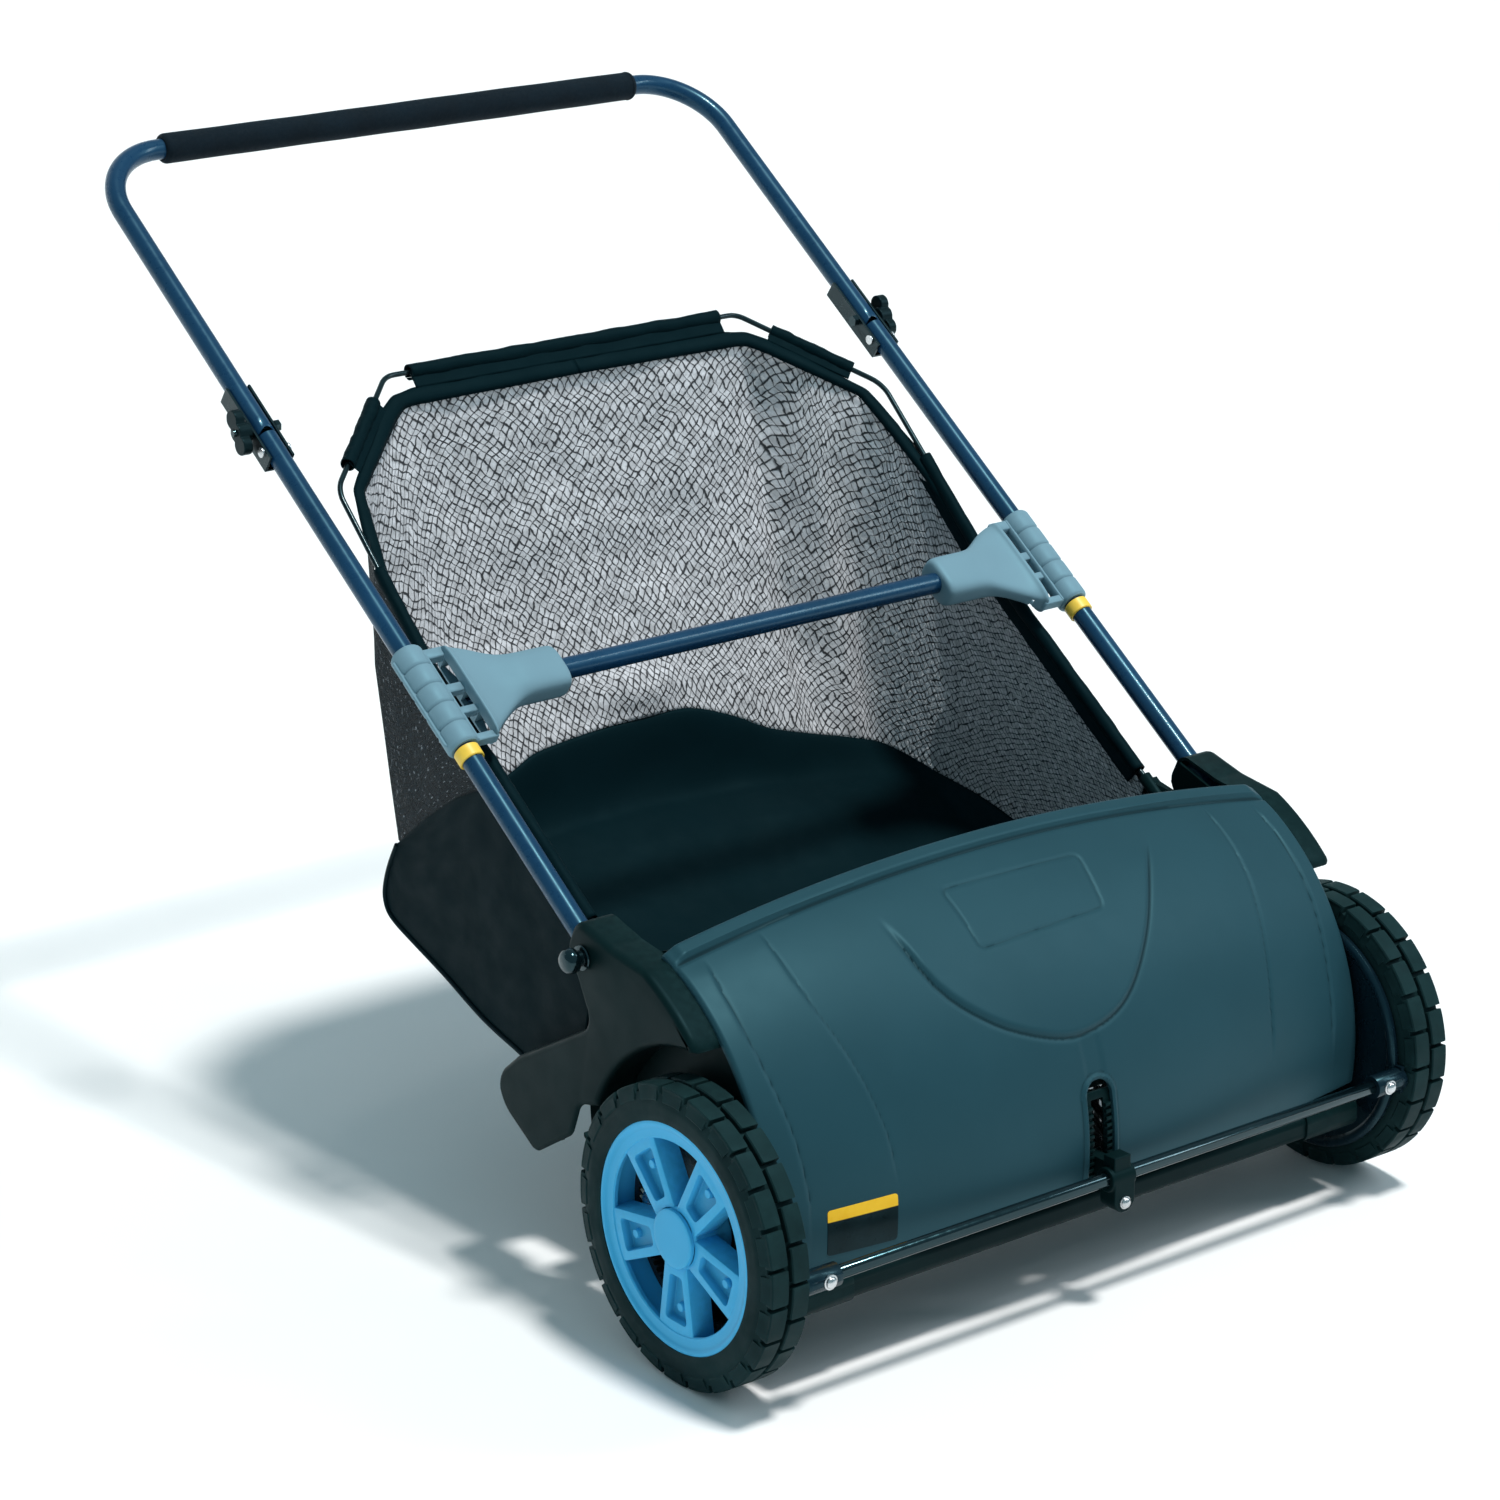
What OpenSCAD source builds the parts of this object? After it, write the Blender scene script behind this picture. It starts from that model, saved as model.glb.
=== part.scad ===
// Push lawn sweeper: two driven wheels, a sweeping brush under a crowned cover,
// a folding tube handle and a lift-off collecting bag.
// Sizes are millimetres. Y and Z of every part are counted from the wheel axle line on the ground,
// and axle_frame() moves them to the origin, which is the bottom centre of the whole sweeper.
// -Y is the front, +Y the handle end, and "left" is the -X side.

/* [Cover] */
// Width of the crowned front cover
cover_w = 655; // [640:1:656]
// Radius of the cover's end profile
cover_end_r = 222; // [220:1:224]
// How far the middle of the cover bulges past its ends
cover_crown = 27; // [20:1:30]
// Wall of the cover
cover_t = 3; // [2:0.5:4]
// Height of the cover's lower edge above the ground
cover_low_z = 98; // [94:1:104]
// Distance of the cover's top edge behind the axle
cover_top_y = 76; // [70:1:80]

/* [Wheels] */
// Outside diameter over the tread
wheel_d = 254; // [252:1:256]
// Width of a tyre
tyre_w = 43; // [42:0.5:43]
// Width over the outside faces of both tyres
track_w = 757; // [757:1:760]
// Outside radius of the wheel's rim
rim_r = 97; // [96:1:98]
// Diameter of the stub axles and of the brush shaft
axle_d = 16; // [14:1:18]
// Blocks in one row of the tread
tread_blocks = 24; // [20:2:28]

/* [Brush drive] */
// Gear module
gear_module = 2; // [2:1:2]
// Teeth of the ring gear inside each wheel
ring_teeth = 80; // [80:1:80]
// Teeth of the pinions on the brush shaft
pinion_teeth = 16; // [16:1:16]
// Radius of the brush at the bristle tips
brush_r = 118; // [110:1:118]
// Rows of bristles
brush_rows = 6; // [4:2:6]

/* [Handle] */
// Diameter of the handle tubes
tube_d = 19; // [19:0.5:19.5]
// Wall of the handle tubes
tube_t = 1.2; // [1:0.1:1.5]
// Distance between the axes of the two side tubes
handle_w = 682.6; // [681:0.1:684]
// Slope of the handle above the ground, in degrees
handle_tilt = 35; // [34:0.5:36]
// Distance up the tubes to the folding bolt
fold_s = 823; // [815:1:830]
// Distance up the tubes to the grip
grip_s = 1162; // [1120:1:1180]
// Bend radius of the grip end
bend_r = 70; // [60:1:75]
// Diameter of the foam grip
grip_d = 28; // [26:1:30]
// Length of the foam grip
grip_len = 533; // [480:1:538]
// Distance up the tubes to the crossbar
crossbar_s = 507.7; // [500:0.1:515]

/* [Bag] */
// Diameter of the bag's frame wire
wire_d = 5; // [4:0.5:5]
// Thickness of the bag's fabric panels
fabric_t = 3; // [2:0.5:4]
// Half width of the bag outside
bag_half = 314; // [310:1:314.5]

/* [Hidden] */
$fn = 64;

left = -1;
right = 1;
wheel_r = wheel_d / 2;
axle_r = axle_d / 2;
tube_r = tube_d / 2;
half_w = cover_w / 2;
tyre_in_x = track_w / 2 - tyre_w;
tube_x = handle_w / 2;

// Foot of the handle tubes' axis line, and the unit directions along and across it
foot_y = -39.6;
foot_z = 183.6;
up_y = cos(handle_tilt);
up_z = sin(handle_tilt);

// Whole sweeper: front of the tyres to back of the grip
back_y = foot_y + grip_s * up_y + grip_d / 2;
axle_y = -(back_y - wheel_r) / 2;

// Centre of the cover's curve, and the brush axis at the drive's centre distance
drum_y = 157;
drum_z = 129;
brush_y = gear_module * (ring_teeth - pinion_teeth) / 2;
brush_z = wheel_r;

// Housing end walls, the bosses on them and the wheel carriers
plate_in_x = 316;
plate_x = 319;
skin_out_x = 354;
skin_t = 2.5;
arch_r = 143;
spigot_r = 22;
spigot_x = 334.3;
bush_r = 14;
run_gap = 0.05;
carrier_x = 331;
carrier_out_x = 334.5;
carrier_r = 108;
bead_x = 328.3;

// Front rod and its adjuster
rod_y = -110.9;
rod_z = 116;
rod_r = 6;
rod_half = 328;
screw_x = 313;
slot_low = 105;
slot_high = 177;
slot_half = 14;

// Gear teeth, half widths at the root and at the tip of a tooth
tooth_root = 1.9;
tooth_tip = 0.75;
addendum = 1.8;
dedendum = 2.5;

// Folding joint
fold_gap = 1;
channel_in = 10;
channel_t = 2.5;
bolt_r = 3;
pivot_bolt_r = 4;

// Bag frame wire: x, height above the tube plane, distance up the tubes
wire_low_n = -25;
wire_half = [
  [308, wire_low_n, 244], [308, wire_low_n, 560], [307, 0, 742], [198, 5, 852]
];

// Helpers ---------------------------------------------------------------

module axle_frame() translate([0, axle_y, 0]) children();
module on_side(side) mirror([side < 0 ? 1 : 0, 0, 0]) children();
module both_sides() for (side = [left, right]) on_side(side) children();

// Local Z runs up the handle, local -Y is the upper side of its plane
module axle_to_handle() translate([0, foot_y, foot_z]) rotate([handle_tilt - 90, 0, 0]) children();
module handle_frame() axle_frame() axle_to_handle() children();

module bar_x(x0, x1, r, y = 0, z = 0)
  translate([x0, y, z]) rotate([0, 90, 0]) cylinder(h = x1 - x0, r = r);
module bar_y(y0, y1, r, x = 0, z = 0)
  translate([x, y0, z]) rotate([-90, 0, 0]) cylinder(h = y1 - y0, r = r);
module block(low, high) translate(low) cube(high - low);
module slab(outline, x0, x1)
  translate([x0, 0, 0]) rotate([90, 0, 90]) linear_extrude(x1 - x0) polygon(outline);
module link(a, b, r) {
  d = b - a;
  translate(a) rotate([0, acos(d.z / norm(d)), atan2(d.y, d.x)]) cylinder(h = norm(d), r = r);
}

// Left-hand normal of an edge, and an outline moved by d along its corners' normals
function edge_normal(a, b) = let(d = (b - a) / norm(b - a)) [-d.y, d.x];
function corner_shift(n1, n2) = (n1 + n2) / (1 + n1 * n2);
function inset(p, d) = [for (i = [0:len(p) - 1])
  let(before = p[(i + len(p) - 1) % len(p)], after = p[(i + 1) % len(p)])
  p[i] + d * corner_shift(edge_normal(before, p[i]), edge_normal(p[i], after))];
// Closed outline of a strip of thickness t to the left of a path
function strip(p, t) = let(last = len(p) - 1) concat(p, [for (i = [last:-1:0])
  let(n1 = edge_normal(p[max(i - 1, 0)], p[max(i, 1)]),
      n2 = edge_normal(p[min(i, last - 1)], p[min(i + 1, last)]))
  p[i] + t * corner_shift(n1, n2)]);

// Point of the handle plane: x across, n above the plane, s up the tubes
function on_handle(x, n, s) = [x, foot_y + s * up_y - n * up_z, foot_z + s * up_z + n * up_y];
function mirrored(p) = [-p.x, p.y, p.z];
function polar(r, a) = [r * cos(a), r * sin(a)];

// Housing ----------------------------------------------------------------

function barrel_r(x) = cover_end_r + cover_crown * (1 - pow(x / half_w, 2));

// Crowned shell about the cover's centre, between two radial offsets from its outer surface
module barrel(x0, x1, inner, outer, steps = 16) {
  xs = [for (i = [0:steps]) x0 + (x1 - x0) * i / steps];
  translate([0, drum_y, drum_z]) rotate([0, 90, 0])
    rotate_extrude($fn = 180) polygon(concat(
      [for (x = xs) [barrel_r(x) + outer, x]],
      [for (i = [steps:-1:0]) [barrel_r(xs[i]) + inner, xs[i]]]));
}

module front_cover() color([0.19, 0.28, 0.34]) axle_frame() {
  lip_w = 14;
  lip_h = 4;
  flange_w = 6;
  difference() {
    intersection() {
      barrel(-half_w, half_w, -cover_t, 0);
      block([-half_w, -150, cover_low_z], [half_w, cover_top_y, 420]);
    }
    intersection() {
      barrel(-80, 80, -1.2, 5, 6);
      block([-80, -60, 310], [80, 60, 348]);
    }
    block([-slot_half, -110, slot_low], [slot_half, -60, slot_high]);
  }
  intersection() {
    barrel(-half_w, half_w, -cover_t, lip_h);
    block([-half_w, cover_top_y - lip_w, 300], [half_w, cover_top_y, 420]);
  }
  // End flanges that the end plates are screwed to
  both_sides() difference() {
    intersection() {
      barrel(plate_in_x - flange_w, plate_in_x, -11, -cover_t + 0.5, 2);
      block([0, -100, cover_low_z], [half_w, cover_top_y, 420]);
    }
    for (a = cover_screw_angles) cover_screw_at(a) bar_x(-20, 20, 2);
  }
}

// Screws stand on an arc inside the cover, at angles above the horizontal
cover_screw_angles = [5, 23, 40];
module cover_screw_at(a)
  translate([plate_x, drum_y - 215.5 * cos(a), drum_z + 215.5 * sin(a)]) children();

// Toothed guide behind the adjuster's slot
module slot_rack() color([0.05, 0.06, 0.07]) axle_frame() {
  guide_half = 20;
  gap_half = 6.5;
  pitch = 6;
  difference() {
    intersection() {
      barrel(-guide_half, guide_half, -cover_t - 2.7, -cover_t - 0.2, 4);
      block([-guide_half, -110, slot_low - 4], [guide_half, -60, slot_high + 6]);
    }
    block([-gap_half, -110, slot_low + 2], [gap_half, -60, slot_high - 1]);
  }
  for (z = [slot_low + 5:pitch:slot_high - 4], side = [left, right]) on_side(side) intersection() {
    barrel(7, 13.5, -cover_t - 0.4, -0.6, 1);
    block([7, -110, z - 1.4], [13.5, -60, z + 1.4]);
  }
}

module label_plate() color([0.93, 0.7, 0.12]) axle_frame() intersection() {
  barrel(-277, -204, 0, 0.4, 4);
  block([-277, -110, 110], [-204, -30, 148]);
}

// Outline of the moulded side covers, counter-clockwise, with the front edge on the cover's curve
front_arc = [for (a = [66:-5.25:45]) [drum_y - 218.4 * cos(a), drum_z + 218.4 * sin(a)]];
side_outline = concat(front_arc, [
  [2, 240], [100, 200], [156, 182], [168, 151], [222, 118], [272, 147], [276, 169],
  [248, 196], [140, 258], [160, 296], [173, 318], [160, 346], [111, 326]
]);

module arch(r) bar_x(plate_x - 5, skin_out_x + 5, r, 1, 135);

module side_cover(side) color([0.045, 0.06, 0.065]) axle_frame() on_side(side) difference() {
  union() {
    difference() {
      slab(side_outline, plate_x, skin_out_x);
      slab(inset(side_outline, 3), plate_x - 1, skin_out_x - skin_t);
    }
    intersection() {
      slab(inset(side_outline, 0.5), plate_x, skin_out_x);
      arch(arch_r + 3);
    }
  }
  arch(arch_r);
  axle_to_handle() translate([tube_x, 0, 0]) cylinder(h = 400, r = tube_r + run_gap);
  translate([0, bolt_y, bolt_z]) bar_x(plate_x, skin_out_x + 1, 4);
  // Only the outer skin goes on below the notch behind the wheel
  block([plate_x - 1, 147, 110], [skin_out_x - skin_t, 226, 187]);
}
module side_cover_left() side_cover(left);
module side_cover_right() side_cover(right);

// Bolts that hold the tubes, 230 mm up their axis line
bolt_y = foot_y + 230 * up_y;
bolt_z = foot_z + 230 * up_z;

// Wall at the end of the brush chamber, with the spigot that the carrier swings on
plate_arc = [for (a = [-8:6.5:70]) [drum_y - 218 * cos(a), drum_z + 218 * sin(a)]];
plate_outline = concat(plate_arc, [
  [108, 322], [158, 338], [168, 318], [156, 296], [137, 258], [246, 192],
  [190, 166], [187, 130], [184, 62], [-30, 62]
]);
module end_plate(side) color([0.05, 0.055, 0.06]) axle_frame() on_side(side) difference() {
  union() {
    slab(plate_outline, plate_in_x, plate_x);
    bar_x(plate_in_x, spigot_x, spigot_r, brush_y, brush_z);
  }
  bar_x(plate_in_x - 1, spigot_x + 1, bush_r, brush_y, brush_z);
  for (a = cover_screw_angles) cover_screw_at(a) bar_x(-20, 20, 2);
}
module end_plate_left() end_plate(left);
module end_plate_right() end_plate(right);

// Black rail under the cover's lower edge, with a thicker sleeve at each end
rail_y = -70;
rail_low_z = 74;
rail_high_z = 82;
module flat_rail(x0, x1, r) {
  for (z = [rail_low_z, rail_high_z]) bar_x(x0, x1, r, rail_y, z);
  block([x0, rail_y - r, rail_low_z], [x1, rail_y + r, rail_high_z]);
}
module lower_rail() color([0.04, 0.045, 0.05]) axle_frame() {
  flat_rail(-plate_in_x, plate_in_x, 8);
  both_sides() flat_rail(255, plate_in_x, 10);
  both_sides() slab([[-74, 66], [-40, 64], [-40, 90], [-74, 90]], plate_in_x - 4, plate_in_x);
}

// Guide behind the brush that throws the sweepings up to the bag
module rear_chute() color([0.05, 0.055, 0.06]) axle_frame() difference() {
  slab(strip([[176, 64], [189, 100], [199, 125], [222, 142], [262, 155.5]], 3),
       -plate_in_x, plate_in_x);
  both_sides() block([286, 204, 100], [plate_in_x + 1, 270, 180]);
}

module housing_screws() color([0.7, 0.71, 0.72]) axle_frame() both_sides()
  for (a = cover_screw_angles) cover_screw_at(a) {
    bar_x(0, 2.5, 4);
    bar_x(-8, 0, 2);
  }

// Cups on the end walls that take the feet of the bag's frame
module bag_sockets() color([0.05, 0.055, 0.06]) handle_frame() both_sides() {
  cup_low = 236;
  cup_high = 268;
  difference() {
    union() {
      translate([wire_half[0].x, -wire_low_n, cup_low]) cylinder(h = cup_high - cup_low, r = 6);
      block([wire_half[0].x, -wire_low_n - 5, cup_low], [plate_in_x, -wire_low_n + 5, cup_high - 6]);
      hull() {
        block([plate_in_x - 4, 11, 198], [plate_in_x, 29, cup_low]);
        block([plate_in_x - 8, -wire_low_n - 5, cup_low], [plate_in_x, -wire_low_n + 5, cup_high - 12]);
      }
    }
    translate([wire_half[0].x, -wire_low_n, cup_low + 7])
      cylinder(h = 40, r = wire_d / 2 + run_gap);
  }
}

module brush_bushes() color([0.75, 0.72, 0.62]) axle_frame() both_sides() difference() {
  bar_x(plate_in_x, spigot_x, bush_r, brush_y, brush_z);
  bar_x(plate_in_x - 1, spigot_x + 1, axle_r + run_gap, brush_y, brush_z);
}

// Lower handle -------------------------------------------------------------

module tube_z(s0, s1, r_out = tube_r, r_in = tube_r - tube_t) difference() {
  translate([0, 0, s0]) cylinder(h = s1 - s0, r = r_out);
  translate([0, 0, s0 - 1]) cylinder(h = s1 - s0 + 2, r = r_in);
}

lower_end_s = fold_s - tube_r - fold_gap;
rivet_s = fold_s - 26;
module lower_tube(side) color([0.02, 0.035, 0.07]) handle_frame() on_side(side) difference() {
  translate([tube_x, 0, 0]) tube_z(195, lower_end_s);
  bar_x(tube_x - 20, tube_x + 20, 4, 0, 230);
  bar_x(tube_x - 20, tube_x + 20, 2.5, 0, rivet_s);
}
module lower_tube_left() lower_tube(left);
module lower_tube_right() lower_tube(right);

module tube_bolts() color([0.06, 0.065, 0.07]) handle_frame() both_sides() {
  bar_x(323, skin_out_x, 4, 0, 230);
  bar_x(skin_out_x, skin_out_x + 3, 11, 0, 230);
  bar_x(skin_out_x + 3, skin_out_x + 10, 8, 0, 230);
  bar_x(323, 329, 7, 0, 230, $fn = 6);
}

crossbar_end = 306;
module crossbar() color([0.02, 0.03, 0.05]) handle_frame()
  translate([-crossbar_end, 0, crossbar_s]) rotate([0, 90, 0]) tube_z(0, 2 * crossbar_end);

// Moulded joint between a side tube and the crossbar
clamp_low = 452;
clamp_high = 558;
clamp_r = 14.5;
web_outline = [
  [211, 530], [246, 530], [262, 532], [276, 539], [290, 549], [306, 553], [318, 550],
  [318, 458], [306, 459], [286, 469], [268, 479], [252, 484], [211, 485]
];
module clamp(side) color([0.42, 0.51, 0.56]) handle_frame() on_side(side) {
  windows = [[461, 489], [497, 509], [518, 543]];
  front_y = -13;
  back_y = 15;
  difference() {
    union() {
      rotate([90, 0, 0]) translate([0, 0, -back_y])
        linear_extrude(back_y - front_y) polygon(web_outline);
      block([316, -6, clamp_low + 6], [tube_x - 8, 7, clamp_high - 10]);
    }
    rotate([90, 0, 0]) translate([0, 0, -back_y - 1])
      linear_extrude(back_y - front_y - 2) polygon(inset(web_outline, 3));
    bar_x(200, crossbar_end, tube_r, 0, crossbar_s);
    for (w = windows) block([318.5, -10, w[0]], [tube_x - 13, 10, w[1]]);
    translate([tube_x, 0, clamp_low]) cylinder(h = 200, r = clamp_r);
  }
  // Socket round the crossbar's end
  difference() {
    union() {
      for (s = [-7.5, 7.5]) bar_x(211, 250, 15, 0, crossbar_s + s);
      block([211, -15, crossbar_s - 7.5], [250, 15, crossbar_s + 7.5]);
      bar_x(250, crossbar_end + 2, 12, 0, crossbar_s);
    }
    bar_x(200, crossbar_end, tube_r, 0, crossbar_s);
  }
  // Ribbed sleeve on the side tube
  translate([tube_x, 0, 0]) {
    tube_z(clamp_low, clamp_high, clamp_r - 1, tube_r);
    for (i = [0:4]) tube_z(clamp_low + 21 * i + 1, clamp_low + 21 * i + 21, clamp_r, tube_r);
  }
}
module clamp_left() clamp(left);
module clamp_right() clamp(right);

module stop_rings() color([0.94, 0.76, 0.2]) handle_frame() both_sides()
  translate([tube_x, 0, 0]) tube_z(438, 450, 11.5, tube_r);

// Channel behind the butted tube ends
channel_low = fold_s - 38;
channel_high = fold_s + 47;
module fold_bracket(side) color([0.045, 0.05, 0.055]) handle_frame() on_side(side) difference() {
  out = channel_in + channel_t;
  block([tube_x - out, -5, channel_low], [tube_x + out, out, channel_high]);
  block([tube_x - channel_in, -6, channel_low - 1], [tube_x + channel_in, channel_in, channel_high + 1]);
  bar_x(tube_x - 20, tube_x + 20, bolt_r + run_gap, 0, fold_s);
  bar_x(tube_x - 20, tube_x + 20, 2.5, 0, rivet_s);
}
module fold_bracket_left() fold_bracket(left);
module fold_bracket_right() fold_bracket(right);

module bracket_rivets() color([0.3, 0.31, 0.32]) handle_frame() both_sides() {
  out = channel_in + channel_t;
  bar_x(tube_x - out, tube_x + out, 2.5, 0, rivet_s);
  bar_x(tube_x - out - 2, tube_x - out, 4.5, 0, rivet_s);
  bar_x(tube_x + out, tube_x + out + 2, 4.5, 0, rivet_s);
}

// Upper handle ----------------------------------------------------------------

module loop_bar(r) {
  low = fold_s - tube_r;
  both_sides() {
    translate([tube_x, 0, low]) cylinder(h = grip_s - bend_r - low, r = r);
    translate([tube_x - bend_r, 0, grip_s - bend_r]) rotate([90, 0, 0])
      rotate_extrude(angle = 90) translate([bend_r, 0]) circle(r = r);
  }
  bar_x(bend_r - tube_x, tube_x - bend_r, r, 0, grip_s);
}
module upper_handle() color([0.02, 0.035, 0.07]) handle_frame() difference() {
  loop_bar(tube_r);
  loop_bar(tube_r - tube_t);
  // Rounded lower ends, which turn past the lower tubes, and the folding bolt's holes
  both_sides() {
    difference() {
      block([tube_x - 12, -12, fold_s - 12], [tube_x + 12, 12, fold_s]);
      bar_x(tube_x - 13, tube_x + 13, tube_r, 0, fold_s);
    }
    bar_x(tube_x - 20, tube_x + 20, bolt_r, 0, fold_s);
  }
}

module foam_grip() color([0.07, 0.09, 0.11]) handle_frame()
  translate([-grip_len / 2, 0, grip_s]) rotate([0, 90, 0]) tube_z(0, grip_len, grip_d / 2, tube_r);

module fold_bolts() color([0.3, 0.31, 0.32]) handle_frame() both_sides() {
  out = channel_in + channel_t + 0.4;
  bar_x(tube_x - out - 5, tube_x + 29, bolt_r, 0, fold_s);
  bar_x(tube_x - out - 5, tube_x - out, 5.5, 0, fold_s, $fn = 6);
}

// Two-lobed knob on the folding bolt
module wing_knob(side) color([0.03, 0.035, 0.04]) handle_frame() on_side(side) difference() {
  x0 = tube_x + channel_in + channel_t + 0.5;
  union() {
    bar_x(x0, x0 + 13, 8.5, 0, fold_s);
    for (lobe = [-1, 1]) bar_x(x0 + 4, x0 + 13, 8.5, -5 * lobe, fold_s + 11 * lobe);
  }
  bar_x(x0 - 1, x0 + 20, bolt_r + run_gap, 0, fold_s);
}
module wing_knob_left() wing_knob(left);
module wing_knob_right() wing_knob(right);

// Wheel carriers, front rod and height adjuster ---------------------------------

module carrier(side) color([0.05, 0.07, 0.1]) axle_frame() on_side(side) difference() {
  union() {
    bar_x(carrier_x, carrier_out_x, carrier_r - 6, 0, wheel_r);
    translate([0, 0, wheel_r]) rotate([0, 90, 0]) rotate_extrude($fn = 120)
      polygon([[98, carrier_x], [100, bead_x + 0.8], [103, bead_x], [106, bead_x + 0.8],
               [carrier_r, carrier_x], [carrier_r, carrier_out_x], [98, carrier_out_x]]);
    bar_x(plate_x + 1.5, carrier_out_x, 28, brush_y, brush_z);
    bar_x(plate_x + 2, carrier_out_x, 14, 0, wheel_r);
    bar_x(300, carrier_out_x, 10, rod_y, rod_z);
    block([carrier_x, -116, rod_z - 12], [carrier_out_x, -90, rod_z + 12]);
  }
  bar_x(plate_x, carrier_out_x + 1, spigot_r + run_gap, brush_y, brush_z);
  bar_x(plate_x, carrier_out_x + 1, axle_r, 0, wheel_r);
  bar_x(299, rod_half, rod_r, rod_y, rod_z);
  bar_y(rod_y - 12, rod_y, 2.5, screw_x, rod_z);
}
module carrier_left() carrier(left);
module carrier_right() carrier(right);

module stub_axle(side) color([0.72, 0.73, 0.75]) axle_frame() on_side(side)
  bar_x(plate_x + 2, tyre_in_x + 33, axle_r, 0, wheel_r);
module stub_axle_left() stub_axle(left);
module stub_axle_right() stub_axle(right);

module axle_nuts() color([0.72, 0.73, 0.75]) axle_frame() both_sides() difference() {
  union() {
    bar_x(tyre_in_x + 30.7, tyre_in_x + 32.5, 13, 0, wheel_r);
    bar_x(tyre_in_x + 32.5, tyre_in_x + 38, 12, 0, wheel_r, $fn = 6);
  }
  bar_x(tyre_in_x, tyre_in_x + 33, axle_r, 0, wheel_r);
}

module front_rod() color([0.02, 0.025, 0.03]) axle_frame() difference() {
  bar_x(-rod_half, rod_half, rod_r, rod_y, rod_z);
  bar_x(-rod_half - 1, rod_half + 1, rod_r - 1.2, rod_y, rod_z);
  both_sides() bar_y(rod_y - 12, rod_y, 2.5, screw_x, rod_z);
}

module rod_screws() color([0.82, 0.83, 0.85]) axle_frame() both_sides() {
  bar_y(rod_y - 10, rod_y, 2.5, screw_x, rod_z);
  bar_y(rod_y - 13, rod_y - 10, 6.5, screw_x, rod_z);
  bar_y(rod_y - 14.5, rod_y - 13, 4.5, screw_x, rod_z);
}

// Clip on the rod whose tongue runs in the cover's slot
module adjuster_bracket() color([0.03, 0.045, 0.05]) axle_frame() difference() {
  union() {
    bar_x(-13, 13, 10.5, rod_y, rod_z);
    block([-9, rod_y - 7, rod_z], [9, rod_y + 7, rod_z + 20]);
    bar_y(rod_y - 10.5, rod_y + 8, 11, 0, rod_z - 18);
    block([-11, rod_y - 10.5, rod_z - 18], [11, rod_y + 8, rod_z]);
    block([-5.5, rod_y, rod_z - 5], [5.5, -77.5, rod_z + 12]);
    block([-10, -80, rod_z - 5], [10, -77.5, rod_z + 12]);
  }
  bar_x(-14, 14, rod_r, rod_y, rod_z);
  bar_y(rod_y - 20, rod_y + 20, bolt_r + run_gap, 0, rod_z - 20);
}

module height_bolt() color([0.85, 0.86, 0.88]) axle_frame() {
  bar_y(rod_y - 11, rod_y + 12, bolt_r, 0, rod_z - 20);
  bar_y(rod_y - 15.5, rod_y - 11, 5.5, 0, rod_z - 20, $fn = 6);
}

// Wheels --------------------------------------------------------------------------

// Local Z points out of the wheel, from its inner face
module wheel_frame(side)
  axle_frame() on_side(side) translate([tyre_in_x, 0, wheel_r]) rotate([0, 90, 0]) children();

module tyre(side) color([0.035, 0.045, 0.05]) wheel_frame(side) difference() {
  groove = 6;
  shoulder = 3;
  pitch = 360 / tread_blocks;
  arc = 0.36 * pitch;
  rotate_extrude($fn = 120) polygon([
    [rim_r, 1], [rim_r, tyre_w - 1], [rim_r + 7, tyre_w], [wheel_r - 12, tyre_w],
    [wheel_r - 6.5, tyre_w - shoulder], [wheel_r, tyre_w - shoulder], [wheel_r, shoulder],
    [wheel_r - 6.5, shoulder], [wheel_r - 12, 0], [rim_r + 7, 0]]);
  // Grooves of the two rows, half a block apart
  for (i = [0:tread_blocks - 1], row = [0, 1])
    rotate([0, 0, (i + row / 2) * pitch - arc / 2])
      rotate_extrude(angle = arc, $fn = 120)
        translate([wheel_r - groove, row == 0 ? -1 : tyre_w / 2]) square([groove + 1, tyre_w / 2 + 1]);
}
module tyre_left() tyre(left);
module tyre_right() tyre(right);

module hub(side) color([0.26, 0.6, 0.8]) wheel_frame(side) {
  spokes = 5;
  face = 38.5;
  back = 17.5;
  difference() {
    union() {
      difference() {
        translate([0, 0, 1.5]) cylinder(h = tyre_w - 3, r = rim_r);
        cylinder(h = tyre_w, r = rim_r - 9);
      }
      difference() {
        translate([0, 0, 33]) cylinder(h = 6.5, r = rim_r - 8);
        cylinder(h = tyre_w, r = rim_r - 15);
      }
      translate([0, 0, 1.5]) cylinder(h = face - 1.5, r = 27);
      for (i = [0:spokes - 1]) rotate([0, 0, i * 360 / spokes + 180])
        translate([0, 0, back]) linear_extrude(face - back)
          polygon([[20, -14], [rim_r - 7, -25], [rim_r - 7, 25], [20, 14]]);
    }
    for (i = [0:spokes - 1]) rotate([0, 0, i * 360 / spokes + 180]) {
      difference() {
        translate([0, 0, face - 8]) linear_extrude(9)
          polygon([[33, -8], [74, -15], [74, 15], [33, 8]]);
        translate([62, 0, 0]) cylinder(h = face - 4, r = 4);
      }
    }
    cylinder(h = 60, r = 11);
    translate([0, 0, 30.2]) cylinder(h = 20, r = 14);
  }
}
module hub_left() hub(left);
module hub_right() hub(right);

gear_in = 3.5;
gear_w = 10;
half_pitch = PI * gear_module / 2;
// Half widths of a ring gear's tooth
ring_tip = 0.6;
ring_root = 1.5;
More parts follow.
